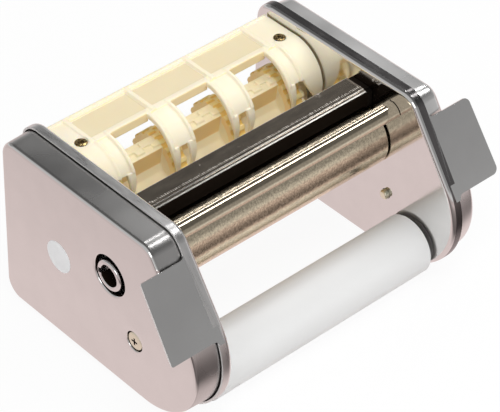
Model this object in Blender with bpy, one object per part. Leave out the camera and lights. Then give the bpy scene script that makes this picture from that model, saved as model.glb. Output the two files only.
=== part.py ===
"""Ravioli maker attachment for a hand pasta machine, as it lies on a table in the photo.

X runs along the rollers, -Y is the side with the two bent tabs, +Z is up, Z = 0 is the table.
Lengths below are millimetres; every mesh is scaled to metres as its object is made.
"""

import math

import bmesh
import bpy
from mathutils import Matrix, Vector

# Frame
MM = 0.001
INNER = 82.5  # from the middle to the inner face of each side plate
HEIGHT = 119.0
CLEAR = 0.3  # running and seating clearance between two pieces

# Outline of the side plates, seen from the side
TOP_FRONT_Y = -47.35
SLANT = 0.656  # forward travel of the front edge for each millimetre down
TOP_LENGTH = 128.5
TOP_BACK_Y = TOP_FRONT_Y + TOP_LENGTH
LEAN = 0.04  # backward travel of the back edge for each millimetre down
R_TOP_FRONT = 14.0
R_TOP_BACK = 14.0
R_BOTTOM_BACK = 14.0
R_BOTTOM_FRONT = 47.0

# Sheet parts
PLATE_T = 1.2
PLATE_BEND = 3.0
FLANGE = 7.0
WEB_OUT = INNER + PLATE_T
TAB_TOP_S = 15.1
TAB_BOTTOM_S = 62.6
TAB_REACH_TOP = 36.8
TAB_REACH_BOTTOM = 38.6
TAB_FILLET = 3.0
LEFT_TAB_CORNER = 1.2
RIGHT_TAB_CORNER = 4.0
COVER_T = 1.0
COVER_INSET = PLATE_T + CLEAR + 0.05
COVER_LAP = 1.6
# The pressed covers differ: face as an X from the middle, edge rounding, wall draft
LEFT_COVER = (INNER + 23.8, 2.6, 0.7)
RIGHT_COVER = (INNER + 20.8, 4.0, 1.2)

# Rollers and gears: axes as (Y, Z), laid out from the plates' top front corner
STEEL_AXIS = (TOP_FRONT_Y + 34.8, HEIGHT - 43.0)
UPPER_AXIS = (TOP_FRONT_Y + 92.5, HEIGHT - 43.5)
GEAR_CENTRES = 40.2
STEEL_R = 20.1
FORM_R = 19.5
ROLLER_END = INNER - 2.0
STEEL_SHAFT_R = 5.0
FORM_SHAFT_R = 4.0
SHAFT_TAIL = INNER + 5.0
SHAFT_CHAMFER = 0.6
BUSH_WALL = 2.0
BUSH_RIM = 2.4
GEAR_TEETH = 20
GEAR_TIP = 1.5
GEAR_ROOT = 1.9
GEAR_X0 = WEB_OUT + 3.0
GEAR_X1 = GEAR_X0 + 7.0
GEAR_RECESS = (8.5, 15.0)  # inner and outer radius
GEAR_RECESS_DEPTH = 1.5

# Forming rollers
DISC_PITCH = (INNER - 17.4) / 1.5
DISC_HALF = 5.0
DISC_TEETH = 10
DISC_NOTCH = 1.2
RIBS = 3
RIB_HALF = 5.5
RIB_TOP = 18.0
ZIGZAG_TOP = 18.9
ZIGZAG_STEP = 5.6
ZIGZAG_HALF = 2.1
ZIGZAG_SWING = 1.6
FLOOR = 7.75
COLLAR_R = 11.5
UPPER_RIB_ANGLE = 99.5

# Comb
COMB_AXIS = (UPPER_AXIS[0] + 0.2, HEIGHT - 30.1)
COMB_R = 24.0
COMB_T = 3.0
COMB_SKIN = 0.6  # depth of the comb's face below the crests of its beads
COMB_BACK_Y = COMB_AXIS[0] + 27.3
COMB_END = INNER - 0.8
COMB_BAND_HALF = 8.65
COMB_TIP_ANGLE = 111.0
COMB_FORK_ANGLE = 66.0
COMB_FORK_HALF = 3.2
COMB_BEAD = 1.8
COMB_SCREW_X = INNER - 9.5
COMB_SCREW_Y = COMB_AXIS[0] + 4.8
COMB_FRONT_WALL = 5.4  # depth of the wall over each window
COMB_WALL_T = 2.2
LUG_T = 1.6
LUG_HALF = 9.0
LUG_FRONT = 6.0
LUG_BACK = 12.0

# Guard and lip either side of the slot
GUARD_FRONT = STEEL_AXIS[0] - 4.6
GUARD_BACK = STEEL_AXIS[0] + 12.1
GUARD_TOP = HEIGHT - 9.4
GUARD_STEP = 0.5
GUARD_T = 1.3
GUARD_FRONT_DROP = 10.6
GUARD_BACK_DROP = 11.6
LIP_CENTRE = (STEEL_AXIS[0] - 19.5, HEIGHT - 18.6)
LIP_R = 8.2
LIP_T = 1.4
LIP_ARC = (92.0, 166.0)  # first and last degree of the rounded front
LIP_DROP = 2.9

# Guide tube, rods and fixings
FRONT_CORNER_Y = TOP_FRONT_Y - SLANT * (HEIGHT - R_BOTTOM_FRONT) + R_BOTTOM_FRONT * math.hypot(1, SLANT)
BACK_CORNER_Y = TOP_BACK_Y + LEAN * (HEIGHT - R_BOTTOM_BACK) - R_BOTTOM_BACK * math.hypot(1, LEAN)
TUBE_R = 18.5
TUBE_AXIS = (FRONT_CORNER_Y - 15.1, TUBE_R + CLEAR)
TUBE_WALL = 3.2
TUBE_END = INNER - 2.3
PLUG_HUB_R = 8.0
REAR_ROD_AXIS = (BACK_CORNER_Y, R_BOTTOM_BACK)
ROD_R = 4.0
ROD_END = WEB_OUT + 4.9
NUT_FLATS = 13.0
NUT_T = 4.4
COVER_SCREW_AXIS = (FRONT_CORNER_Y + 7.0, R_BOTTOM_FRONT - 6.0)
COVER_SCREW_R = 3.0
COVER_SCREW_TIP = INNER - 2.8
SCREW_SEAT = 2.6  # depth of the screw's seat below the cover's face
SCREW_HEAD_R = 5.7
COVER_BOSS_R = 11.6
SOCKET_HOLE_R = 12.4
SOCKET_R = 9.65
SOCKET_BORE_R = 6.3
SOCKET_END = LEFT_COVER[0] + 0.7
SOCKET_SEAT = SOCKET_END - 8.5

# Facets round a full turn, by size of piece
LARGE = 32
MEDIUM = 18
SMALL = 12
BEND_STEPS = 3
HIDDEN_STEPS = 2
COMB_BEND_STEP = 16  # degrees


def lower_axis():
    """The hidden forming roller sits below, one gear centre distance from both others."""
    steel = Vector(STEEL_AXIS)
    upper = Vector(UPPER_AXIS)
    middle = (steel + upper) / 2
    along = upper - steel
    half = along.length / 2
    depth = math.sqrt(GEAR_CENTRES**2 - half**2)
    down = Vector((along.y, -along.x)).normalized()
    return tuple(middle + down * depth)


LOWER_AXIS = lower_axis()


# Mesh helpers, all in millimetres
def object_from(bm, name):
    bmesh.ops.recalc_face_normals(bm, faces=bm.faces)
    mesh = bpy.data.meshes.new(name)
    bm.to_mesh(mesh)
    bm.free()
    made = bpy.data.objects.new(name, mesh)
    bpy.context.scene.collection.objects.link(made)
    return made


def loft(rings, name="loft", wrap=False):
    """Joins rings of points of equal count; wrap closes the last ring to the first."""
    bm = bmesh.new()
    rows = [[bm.verts.new(p) for p in ring] for ring in rings]
    count = len(rows[0])
    pairs = list(zip(rows, rows[1:]))
    if wrap:
        pairs.append((rows[-1], rows[0]))
    for one, two in pairs:
        for i in range(count):
            j = (i + 1) % count
            bm.faces.new((one[i], one[j], two[j], two[i]))
    if not wrap:
        bm.faces.new(rows[0][::-1])
        bm.faces.new(rows[-1])
    return object_from(bm, name)


def prism(outline, x0, x1, name="prism"):
    """A closed outline of (y, z) points carried from x0 to x1."""
    return loft([[(x0, y, z) for y, z in outline], [(x1, y, z) for y, z in outline]], name)


def box(x0, x1, y0, y1, z0, z1, name="box"):
    return prism([(y0, z0), (y1, z0), (y1, z1), (y0, z1)], x0, x1, name)


def circle(radius, axis, steps, turn=0.0):
    points = []
    for i in range(steps):
        a = math.radians(turn) + 2 * math.pi * i / steps
        points.append((axis[0] + radius * math.cos(a), axis[1] + radius * math.sin(a)))
    return points


def turned(profile, axis, steps, name="turned", bored=False):
    """Revolves (x, radius) points about an X line; bored profiles close on themselves."""
    rings = [[(x, y, z) for y, z in circle(r, axis, steps)] for x, r in profile]
    return loft(rings, name, wrap=bored)


def rod(radius, axis, x0, x1, steps=SMALL, chamfer=0.0, name="rod"):
    low, high = min(x0, x1), max(x0, x1)
    if chamfer:
        profile = [(low, radius - chamfer), (low + chamfer, radius)]
        profile += [(high - chamfer, radius), (high, radius - chamfer)]
    else:
        profile = [(low, radius), (high, radius)]
    return turned(profile, axis, steps, name)


def combine(target, other, operation):
    change = target.modifiers.new("combine", "BOOLEAN")
    change.operation = operation
    change.solver = "EXACT"
    change.object = other
    graph = bpy.context.evaluated_depsgraph_get()
    mesh = bpy.data.meshes.new_from_object(target.evaluated_get(graph))
    target.modifiers.clear()
    target.data = mesh
    bpy.data.objects.remove(other)
    return target


def cut(target, *others):
    for other in others:
        combine(target, other, "DIFFERENCE")
    return target


def join(target, *others):
    for other in others:
        combine(target, other, "UNION")
    return target


def mirrored(made):
    """Turns a piece of the right side into its left twin."""
    bm = bmesh.new()
    bm.from_mesh(made.data)
    bmesh.ops.transform(bm, matrix=Matrix.Diagonal((-1, 1, 1, 1)), verts=bm.verts)
    bmesh.ops.reverse_faces(bm, faces=bm.faces)
    bm.to_mesh(made.data)
    bm.free()
    return made


def sided(made, side):
    return mirrored(made) if side < 0 else made


def material(name, colour, metallic, roughness):
    made = bpy.data.materials.new(name)
    made.use_nodes = True
    shader = made.node_tree.nodes["Principled BSDF"]
    shader.inputs["Base Color"].default_value = (*colour, 1.0)
    shader.inputs["Metallic"].default_value = metallic
    shader.inputs["Roughness"].default_value = roughness
    return made


def finish(made, name, colour, metallic, roughness, origin=(0.0, 0.0, 0.0)):
    """Names the piece, gives it its material and sets its origin, then scales to metres."""
    centre = Vector(origin)
    made.data.transform(Matrix.Scale(MM, 4) @ Matrix.Translation(-centre))
    made.location = centre * MM
    made.name = name
    made.data.name = name
    made.data.materials.clear()
    made.data.materials.append(material(name, colour, metallic, roughness))
    return made


CHROME = ((0.80, 0.79, 0.78), 1.0, 0.12)
STEEL = ((0.62, 0.60, 0.57), 1.0, 0.30)
NICKEL = ((0.66, 0.60, 0.52), 1.0, 0.25)
CREAM = ((0.93, 0.85, 0.62), 0.0, 0.40)
WHITE = ((0.90, 0.90, 0.89), 0.0, 0.45)
NYLON = ((0.82, 0.82, 0.80), 0.0, 0.50)
BRONZE = ((0.36, 0.25, 0.12), 1.0, 0.35)


def at(axis):
    return (0.0, axis[0], axis[1])


# Side plates and covers
def arc_between(centre, radius, first, last, steps):
    points = []
    for i in range(steps + 1):
        a = math.radians(first + (last - first) * i / steps)
        points.append((centre[0] + radius * math.cos(a), centre[1] + radius * math.sin(a)))
    return points


def outline(inset):
    """The plate's side outline, moved inwards by inset, as (y, z) points."""
    slant_long = math.hypot(1, SLANT)
    lean_long = math.hypot(1, LEAN)
    slant_deg = math.degrees(math.atan(SLANT))
    lean_deg = math.degrees(math.atan(LEAN))
    # Each corner's centre keeps its distance from the two edges it joins.
    z = HEIGHT - R_TOP_FRONT
    y = TOP_FRONT_Y - SLANT * R_TOP_FRONT + R_TOP_FRONT * slant_long
    top_front = (y, z)
    z = HEIGHT - R_TOP_BACK
    y = TOP_BACK_Y + LEAN * R_TOP_BACK - R_TOP_BACK * lean_long
    top_back = (y, z)
    bottom_back = (BACK_CORNER_Y, R_BOTTOM_BACK)
    bottom_front = (FRONT_CORNER_Y, R_BOTTOM_FRONT)
    points = arc_between(top_back, R_TOP_BACK - inset, 90, lean_deg, 5)
    points += arc_between(bottom_back, R_BOTTOM_BACK - inset, lean_deg, -90, 5)
    points += arc_between(bottom_front, R_BOTTOM_FRONT - inset, -90, -180 - slant_deg, 11)
    points += arc_between(top_front, R_TOP_FRONT - inset, 180 - slant_deg, 90, 4)
    return points


def outline_ring(x, inset):
    return [(x, y, z) for y, z in outline(inset)]


def slant_point(s, lift):
    """A point s along the front slant from the top corner, lifted off it by lift."""
    long = math.hypot(1, SLANT)
    y = TOP_FRONT_Y - SLANT / long * s - lift / long
    z = HEIGHT - s / long + lift * SLANT / long
    return y, z


def rounded_corner(corner, before, after, radius, steps=4):
    """Points that round a corner of an outline with the given radius."""
    corner, before, after = Vector(corner), Vector(before), Vector(after)
    a = (before - corner).normalized()
    b = (after - corner).normalized()
    half = math.acos(max(-1.0, min(1.0, a.dot(b)))) / 2
    reach = radius / math.tan(half)
    centre = corner + (a + b).normalized() * radius / math.sin(half)
    start = corner + a * reach - centre
    end = corner + b * reach - centre
    points = []
    for i in range(steps + 1):
        mix = start.lerp(end, i / steps).normalized() * radius
        points.append(tuple(centre + mix))
    return points


def tab(corner_radius):
    """The flat tab that the front flange runs out into, for the right side."""
    root = INNER + PLATE_BEND
    edge = INNER + FLANGE
    top_x = INNER + TAB_REACH_TOP
    bottom_x = INNER + TAB_REACH_BOTTOM
    a = (edge, TAB_TOP_S - TAB_FILLET)
    b = (edge, TAB_TOP_S)
    c = (top_x, TAB_TOP_S)
    d = (bottom_x, TAB_BOTTOM_S)
    e = (edge, TAB_BOTTOM_S)
    f = (edge, TAB_BOTTOM_S + TAB_FILLET)
    shape = [(root, TAB_TOP_S - TAB_FILLET)]
    shape += rounded_corner(b, a, c, TAB_FILLET)
    shape += rounded_corner(c, b, d, corner_radius)
    shape += rounded_corner(d, c, e, corner_radius)
    shape += rounded_corner(e, d, f, TAB_FILLET)
    shape += [(root, TAB_BOTTOM_S + TAB_FILLET)]
    low = []
    high = []
    for x, s in shape:
        low.append((x, *slant_point(s, -PLATE_T)))
        high.append((x, *slant_point(s, 0.0)))
    return loft([low, high], "tab")


def side_plate(side, corner_radius):
    rings = []
    for i in range(BEND_STEPS + 1):
        a = math.radians(90 * i / BEND_STEPS)
        x = INNER + PLATE_BEND * (1 - math.cos(a))
        rings.append(outline_ring(x, PLATE_BEND * (1 - math.sin(a))))
    rings.append(outline_ring(INNER + FLANGE, 0.0))
    rings.append(outline_ring(INNER + FLANGE, PLATE_T))
    inner_bend = PLATE_BEND - PLATE_T
    for i in range(BEND_STEPS, -1, -1):
        a = math.radians(90 * i / BEND_STEPS)
        x = INNER + PLATE_BEND - inner_bend * math.cos(a)
        rings.append(outline_ring(x, PLATE_BEND - inner_bend * math.sin(a)))
    plate = loft(rings, "plate")
    join(plate, tab(corner_radius))
    # The lug that carries the comb is folded inwards from the web.
    lug_top = COMB_AXIS[1] + COMB_R - COMB_SKIN - COMB_T - CLEAR
    front, back = COMB_SCREW_Y - LUG_FRONT, COMB_SCREW_Y + LUG_BACK
    join(plate, box(COMB_SCREW_X - LUG_HALF, INNER + 0.8, front, back, lug_top - LUG_T, lug_top))
    cut(plate, loft([upright_ring(1.9, z) for z in (lug_top - 4, lug_top + 2)]))
    for axis, radius in (
        (STEEL_AXIS, STEEL_SHAFT_R + BUSH_WALL + 2 * CLEAR),
        (UPPER_AXIS, FORM_SHAFT_R + BUSH_WALL + 2 * CLEAR),
        (LOWER_AXIS, FORM_SHAFT_R + BUSH_WALL + 2 * CLEAR),
        (TUBE_AXIS, ROD_R + CLEAR),
        (REAR_ROD_AXIS, ROD_R + CLEAR),
        (COVER_SCREW_AXIS, COVER_SCREW_R + CLEAR),
    ):
        cut(plate, rod(radius, axis, INNER - 2, INNER + 5))
    return sided(plate, side)


def upright_ring(radius, z):
    """A ring about the upright line of the comb's screw."""
    return [(x, y, z) for x, y in circle(radius, (COMB_SCREW_X, COMB_SCREW_Y), SMALL)]


def side_cover(side):
    face, rounding, draft = LEFT_COVER if side < 0 else RIGHT_COVER
    start = INNER + FLANGE - COVER_LAP
    face_inset = COVER_INSET + draft
    rings = [outline_ring(start, COVER_INSET)]
    for i in range(BEND_STEPS + 1):
        a = math.radians(90 * i / BEND_STEPS)
        x = face - rounding + rounding * math.sin(a)
        rings.append(outline_ring(x, face_inset + rounding * (1 - math.cos(a))))
    inner_round = rounding - COVER_T
    for i in range(HIDDEN_STEPS, -1, -1):
        a = math.radians(90 * i / HIDDEN_STEPS)
        x = face - rounding + inner_round * math.sin(a)
        rings.append(outline_ring(x, face_inset + rounding - inner_round * math.cos(a)))
    rings.append(outline_ring(start, COVER_INSET + COVER_T))
    # The rim closes the wall; the two n-gons are the face's outer and inner skins.
    bm = bmesh.new()
    rows = [[bm.verts.new(p) for p in ring] for ring in rings]
    count = len(rows[0])
    last_outer = BEND_STEPS + 1
    for k in range(len(rows)):
        if k == last_outer:
            continue
        one, two = rows[k], rows[(k + 1) % len(rows)]
        for i in range(count):
            j = (i + 1) % count
            bm.faces.new((one[i], one[j], two[j], two[i]))
    bm.faces.new(rows[last_outer])
    bm.faces.new(rows[last_outer + 1][::-1])
    cover = object_from(bm, "cover")
    join(cover, rod(COVER_BOSS_R, COVER_SCREW_AXIS, face - 4.6, face - 0.6, MEDIUM))
    # A tight counterbore opens over a rolled edge into a shallow dimple.
    seat_r = SCREW_HEAD_R + 0.5
    dimple = [(face - SCREW_SEAT, seat_r), (face - 0.9, seat_r + 0.1), (face - 0.4, seat_r + 0.8)]
    dimple += [(face - 0.2, seat_r + 2.8), (face + 0.1, COVER_BOSS_R), (face + 2, COVER_BOSS_R + 2.4)]
    cut(cover, turned(dimple, COVER_SCREW_AXIS, MEDIUM))
    cut(cover, rod(COVER_SCREW_R + CLEAR, COVER_SCREW_AXIS, face - 8, face + 2))
    if side < 0:
        join(cover, rod(SOCKET_HOLE_R + 1.6, STEEL_AXIS, face - 3.6, face - 0.5, MEDIUM))
        hole = [(face - 8, SOCKET_HOLE_R), (face - 1.2, SOCKET_HOLE_R)]
        hole += [(face - 0.4, SOCKET_HOLE_R + 0.4), (face, SOCKET_HOLE_R + 1.1)]
        hole.append((face + 2, SOCKET_HOLE_R + 3.2))
        cut(cover, turned(hole, STEEL_AXIS, MEDIUM))
    return sided(cover, side)


# Fixings
def cross_recess(axis, x0, x1, reach, half):
    one = box(x0, x1, axis[0] - reach, axis[0] + reach, axis[1] - half, axis[1] + half)
    two = box(x0, x1, axis[0] - half, axis[0] + half, axis[1] - reach, axis[1] + reach)
    return join(one, two)


def cover_screw(side):
    face = (LEFT_COVER if side < 0 else RIGHT_COVER)[0]
    seat = face - SCREW_SEAT + CLEAR
    tip = COVER_SCREW_TIP
    profile = [(tip, COVER_SCREW_R - 0.6), (tip + 0.6, COVER_SCREW_R), (seat, COVER_SCREW_R)]
    profile += [(seat, SCREW_HEAD_R), (seat + 1.1, SCREW_HEAD_R)]
    profile += [(seat + 1.6, SCREW_HEAD_R - 0.7), (seat + 1.8, SCREW_HEAD_R - 2.7)]
    screw = turned(profile, COVER_SCREW_AXIS, SMALL)
    cut(screw, cross_recess(COVER_SCREW_AXIS, seat + 0.5, seat + 4, 2.9, 0.55))
    return sided(screw, side)


def comb_screw(side):
    top = COMB_AXIS[1] + COMB_R - COMB_SKIN + 0.2
    rings = [upright_ring(1.2, top - 9.5), upright_ring(1.6, top - 8.9), upright_ring(1.6, top - 2.4)]
    rings += [upright_ring(3.6, top - 0.6), upright_ring(3.6, top - 0.2), upright_ring(3.0, top)]
    screw = loft(rings)
    x, y = COMB_SCREW_X, COMB_SCREW_Y
    recess = box(x - 2.0, x + 2.0, y - 0.4, y + 0.4, top - 1.2, top + 2)
    join(recess, box(x - 0.4, x + 0.4, y - 2.0, y + 2.0, top - 1.2, top + 2))
    cut(screw, recess)
    return sided(screw, side)


def nut(axis, side):
    outer = circle(NUT_FLATS / math.sqrt(3), axis, 6, 30)
    shape = prism(outer, WEB_OUT + CLEAR, WEB_OUT + CLEAR + NUT_T)
    cut(shape, rod(ROD_R + CLEAR, axis, WEB_OUT - 2, WEB_OUT + 9))
    return sided(shape, side)


def bush(axis, shaft_radius, side):
    bore = shaft_radius + CLEAR
    body = bore + BUSH_WALL
    rim = body + BUSH_RIM
    profile = [(INNER - 1.6, bore), (INNER - 1.6, rim), (INNER - CLEAR, rim)]
    profile += [(INNER - CLEAR, body), (INNER + 3.4, body), (INNER + 3.4, bore)]
    return sided(turned(profile, axis, SMALL, bored=True), side)


# Gears
def gear_outline(axis, phase):
    pitch_radius = GEAR_CENTRES / 2
    points = []
    for k in range(GEAR_TEETH):
        middle = math.radians(phase) + 2 * math.pi * k / GEAR_TEETH
        for radius, half in (
            (pitch_radius - GEAR_ROOT, -1.7),
            (pitch_radius + GEAR_TIP, -0.5),
            (pitch_radius + GEAR_TIP, 0.5),
            (pitch_radius - GEAR_ROOT, 1.7),
        ):
            a = middle + half / radius
            points.append((axis[0] + radius * math.cos(a), axis[1] + radius * math.sin(a)))
    return points


def gear(axis, phase, shaft_radius):
    shape = prism(gear_outline(axis, phase), -GEAR_X1, -GEAR_X0)
    inner, outer = GEAR_RECESS
    outside, bottom = -GEAR_X1 - 3, -GEAR_X1 + GEAR_RECESS_DEPTH
    recess = [(outside, inner), (outside, outer), (bottom, outer), (bottom, inner)]
    cut(shape, turned(recess, axis, SMALL, bored=True))
    cut(shape, rod(shaft_radius + CLEAR, axis, -GEAR_X1 - 4, -GEAR_X0 + 4))
    return shape


def meshing_phase(first_axis, first_phase, second_axis):
    """The phase that puts a gap of the second gear over the first gear's tooth."""
    along = math.degrees(math.atan2(second_axis[1] - first_axis[1], second_axis[0] - first_axis[0]))
    step = 360 / GEAR_TEETH
    return (2 * along + 180 - first_phase - step / 2) % step


# Forming rollers
def pocket_section(axis, angle):
    """Three ribs standing on a three-sided core, as (y, z) points."""
    points = []
    gap = math.radians(360 / RIBS / 2)
    foot = (FLOOR - RIB_HALF * math.sin(gap)) / math.cos(gap)
    for k in range(RIBS):
        a = math.radians(angle + 360 * k / RIBS)
        out = Vector((math.cos(a), math.sin(a)))
        across = Vector((-math.sin(a), math.cos(a)))
        for reach, offset in (
            (foot, -RIB_HALF),
            (RIB_TOP, -RIB_HALF + 0.5),
            (RIB_TOP + 0.5, 0.0),
            (RIB_TOP, RIB_HALF - 0.5),
            (foot, RIB_HALF),
        ):
            p = out * reach + across * offset
            points.append((axis[0] + p.x, axis[1] + p.y))
    return points


def zigzag(axis, angle, x0, x1):
    """The crimping crest that runs in steps along a rib."""
    a = math.radians(angle)
    out = Vector((math.cos(a), math.sin(a)))
    across = Vector((-math.sin(a), math.cos(a)))
    steps = round((x1 - x0) / ZIGZAG_STEP)
    width = (x1 - x0) / steps
    left = []
    right = []
    for i in range(steps):
        swing = ZIGZAG_SWING if i % 2 else -ZIGZAG_SWING
        for x in (x0 + i * width, x0 + (i + 1) * width):
            left.append((x, swing - ZIGZAG_HALF))
            right.append((x, swing + ZIGZAG_HALF))
    shape = left + right[::-1]
    rings = []
    for reach in (RIB_TOP - 0.8, ZIGZAG_TOP):
        ring = []
        for x, offset in shape:
            p = out * reach + across * offset
            ring.append((x, axis[0] + p.x, axis[1] + p.y))
        rings.append(ring)
    return loft(rings, "zigzag")


def disc_outline(axis, angle):
    points = []
    step = 360 / DISC_TEETH
    for k in range(DISC_TEETH):
        for radius, part in (
            (FORM_R, 0.04),
            (FORM_R, 0.50),
            (FORM_R - DISC_NOTCH, 0.56),
            (FORM_R - DISC_NOTCH, 0.98),
        ):
            a = math.radians(angle + step * (k + part))
            points.append((axis[0] + radius * math.cos(a), axis[1] + radius * math.sin(a)))
    return points


def forming_roller(axis, angle):
    """Serrated discs, ribs with zigzag crests and nine deep pockets, in one moulding."""
    edges = [(k - 1.5) * DISC_PITCH for k in range(4)]
    roller = prism(pocket_section(axis, angle), edges[0], edges[-1])
    join(roller, rod(COLLAR_R, axis, -ROLLER_END, edges[0] + 1, MEDIUM, 0.8))
    join(roller, rod(COLLAR_R, axis, edges[-1] - 1, ROLLER_END, MEDIUM, 0.8))
    for k in range(3):
        for rib in range(RIBS):
            low = edges[k] + DISC_HALF - 1.0
            high = edges[k + 1] - DISC_HALF + 1.0
            join(roller, zigzag(axis, angle + 360 * rib / RIBS, low, high))
    for middle in edges:
        join(roller, prism(disc_outline(axis, angle + 3), middle - DISC_HALF, middle + DISC_HALF))
    cut(roller, rod(FORM_SHAFT_R + CLEAR, axis, -ROLLER_END - 5, ROLLER_END + 5))
    return roller


# Comb: made flat in (x, s), then bent round the top of the forming roller
def bend_point(x, s, depth):
    """s runs from the back edge over the flat and then down the bend."""
    flat = COMB_BACK_Y - COMB_AXIS[0]
    top = COMB_AXIS[1] + COMB_R
    if s <= flat:
        return x, COMB_BACK_Y - s, top - depth
    a = (s - flat) / COMB_R
    radius = COMB_R - depth
    return x, COMB_AXIS[0] - radius * math.sin(a), COMB_AXIS[1] + radius * math.cos(a)


def flat_prism(shape, depth0, depth1):
    return loft([[(x, s, -depth0) for x, s in shape], [(x, s, -depth1) for x, s in shape]])


def strip(x0, x1, s0, s1, depth0, depth1):
    """A rectangular piece of the flat comb."""
    return flat_prism([(x0, s0), (x1, s0), (x1, s1), (x0, s1)], depth0, depth1)


def comb():
    flat = COMB_BACK_Y - COMB_AXIS[0]
    fork = flat + math.radians(COMB_FORK_ANGLE) * COMB_R
    tip = flat + math.radians(COMB_TIP_ANGLE) * COMB_R
    face = COMB_SKIN
    middles = [(k - 1.5) * DISC_PITCH for k in range(4)]
    body = strip(-COMB_END, COMB_END, 0, flat, face, face + COMB_T)
    for k, middle in enumerate(middles):
        low = -COMB_END if k == 0 else middle - COMB_BAND_HALF
        high = COMB_END if k == 3 else middle + COMB_BAND_HALF
        join(body, strip(low, high, flat - 2, fork, face, face + COMB_T))
        for x0, x1, point in (
            (low, middle - COMB_FORK_HALF, -1),
            (middle + COMB_FORK_HALF, high, 1),
        ):
            if COMB_END in (-x0, x1):
                keep = 4.0
                tip_x = (x0, x0 + keep) if point < 0 else (x1 - keep, x1)
            else:
                keep = 0.8
                tip_x = (x1 - 1.6 - keep, x1 - 1.6) if point < 0 else (x0 + 1.6, x0 + 1.6 + keep)
            prong = [(x0, fork - 1), (x1, fork - 1), (x1, fork)]
            prong += [(tip_x[1], tip), (tip_x[0], tip), (x0, fork)]
            join(body, flat_prism(prong, face, face + COMB_T))
        # A raised bead follows each long edge of the band.
        for x0 in (middle - COMB_BAND_HALF, middle + COMB_BAND_HALF - COMB_BEAD):
            join(body, strip(x0, x0 + COMB_BEAD, 3.0, fork - 3, 0.0, face + 0.8))
    # Between the bands lie shallow panels, and a deeper wall stands over each window.
    for one, two in zip(middles, middles[1:]):
        low, high = one + COMB_BAND_HALF - 1, two - COMB_BAND_HALF + 1
        join(body, strip(low, high, flat - COMB_WALL_T, flat, face, face + COMB_FRONT_WALL))
        panel = [
            (one + COMB_BAND_HALF - 5.2, 5.0),
            (two - COMB_BAND_HALF + 5.2, 5.0),
            (two - COMB_BAND_HALF - 1.6, flat - 4.5),
            (one + COMB_BAND_HALF + 1.6, flat - 4.5),
        ]
        cut(body, flat_prism(panel, -2.0, face + 0.9))
    for side in (-1, 1):
        x, s = side * COMB_SCREW_X, COMB_BACK_Y - COMB_SCREW_Y
        rings = []
        for depth, radius in ((-2.0, 4.0), (0.9, 4.0), (2.9, 2.1), (6.0, 2.1)):
            rings.append([(px, ps, -depth) for px, ps in circle(radius, (x, s), SMALL)])
        cut(body, loft(rings))
    bm = bmesh.new()
    bm.from_mesh(body.data)
    for degrees in range(0, int(COMB_TIP_ANGLE), COMB_BEND_STEP):
        s = flat + math.radians(degrees) * COMB_R
        geometry = bm.verts[:] + bm.edges[:] + bm.faces[:]
        bmesh.ops.bisect_plane(bm, geom=geometry, plane_co=(0, s, 0), plane_no=(0, 1, 0), dist=1e-4)
    bmesh.ops.triangulate(bm, faces=bm.faces)
    for v in bm.verts:
        v.co = bend_point(v.co.x, v.co.y, -v.co.z)
    bmesh.ops.reverse_faces(bm, faces=bm.faces)
    bm.to_mesh(body.data)
    bm.free()
    return body


# Sheet guards over the steel roller
def exit_guard():
    """The flat strip, a channel with a stepped front edge."""
    front, back, top = GUARD_FRONT, GUARD_BACK, GUARD_TOP
    shape = [
        (front, top - GUARD_FRONT_DROP),
        (front, top - GUARD_STEP - 0.2),
        (front + 0.3, top - GUARD_STEP),
        (front + 1.9, top - GUARD_STEP),
        (front + 2.4, top),
        (back - 0.6, top),
        (back, top - 0.6),
        (back, top - GUARD_BACK_DROP),
        (back - GUARD_T, top - GUARD_BACK_DROP),
        (back - GUARD_T, top - GUARD_T - 0.1),
        (front + GUARD_T, top - GUARD_T - 0.1),
        (front + GUARD_T, top - GUARD_FRONT_DROP),
    ]
    return prism(shape, -INNER + CLEAR, INNER - CLEAR)


def front_lip():
    """The rounded lip in front of the slot."""
    y, z = LIP_CENTRE
    first, last = LIP_ARC
    shape = [(y + LIP_T + 0.1, z - LIP_DROP), (y + LIP_T + 0.1, z + LIP_R - 0.4), (y + 1.1, z + LIP_R)]
    shape += arc_between(LIP_CENTRE, LIP_R, first, last, 7)
    shape += arc_between(LIP_CENTRE, LIP_R - LIP_T, last, 90, 7)
    shape += [(y + 0.1, z - LIP_DROP)]
    return prism(shape, -INNER + CLEAR, INNER - CLEAR)


# Crank socket
def crank_socket():
    x = SOCKET_END
    seat = SOCKET_SEAT
    hub = seat - 3.3
    profile = [(-x, SOCKET_BORE_R + 0.9), (-x, SOCKET_R - 1.1), (-x + 0.5, SOCKET_R - 0.3)]
    profile += [(-x + 1.3, SOCKET_R), (-hub, SOCKET_R), (-hub, STEEL_SHAFT_R + CLEAR)]
    profile += [(-seat, STEEL_SHAFT_R + CLEAR), (-seat, SOCKET_BORE_R), (-x + 0.9, SOCKET_BORE_R)]
    socket = turned(profile, STEEL_AXIS, MEDIUM, bored=True)
    y, z = STEEL_AXIS
    key = box(-x - 1, -seat - 1.5, y + SOCKET_BORE_R - 2.5, y + SOCKET_BORE_R + 1.9, z - 1.6, z + 1.6)
    return cut(socket, key)


# Guide tube and steel roller
def tube_plug(side):
    """The stepped plug that carries an end of the tube on its rod."""
    bore = ROD_R + CLEAR
    seat_r = TUBE_R - TUBE_WALL - CLEAR
    hub_end = INNER - CLEAR - 0.1
    profile = [(TUBE_END - 7, bore), (TUBE_END - 7, seat_r), (TUBE_END, seat_r)]
    profile += [(TUBE_END, PLUG_HUB_R), (hub_end, PLUG_HUB_R), (hub_end, bore)]
    return sided(turned(profile, TUBE_AXIS, MEDIUM, bored=True), side)


def sleeve(axis, bore, radius, end, chamfer):
    """A bored cylinder with chamfered ends, the same length to both sides."""
    profile = [(-end, bore), (-end, radius - chamfer), (-end + chamfer, radius)]
    profile += [(end - chamfer, radius), (end, radius - chamfer), (end, bore)]
    return turned(profile, axis, LARGE, bored=True)


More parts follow.
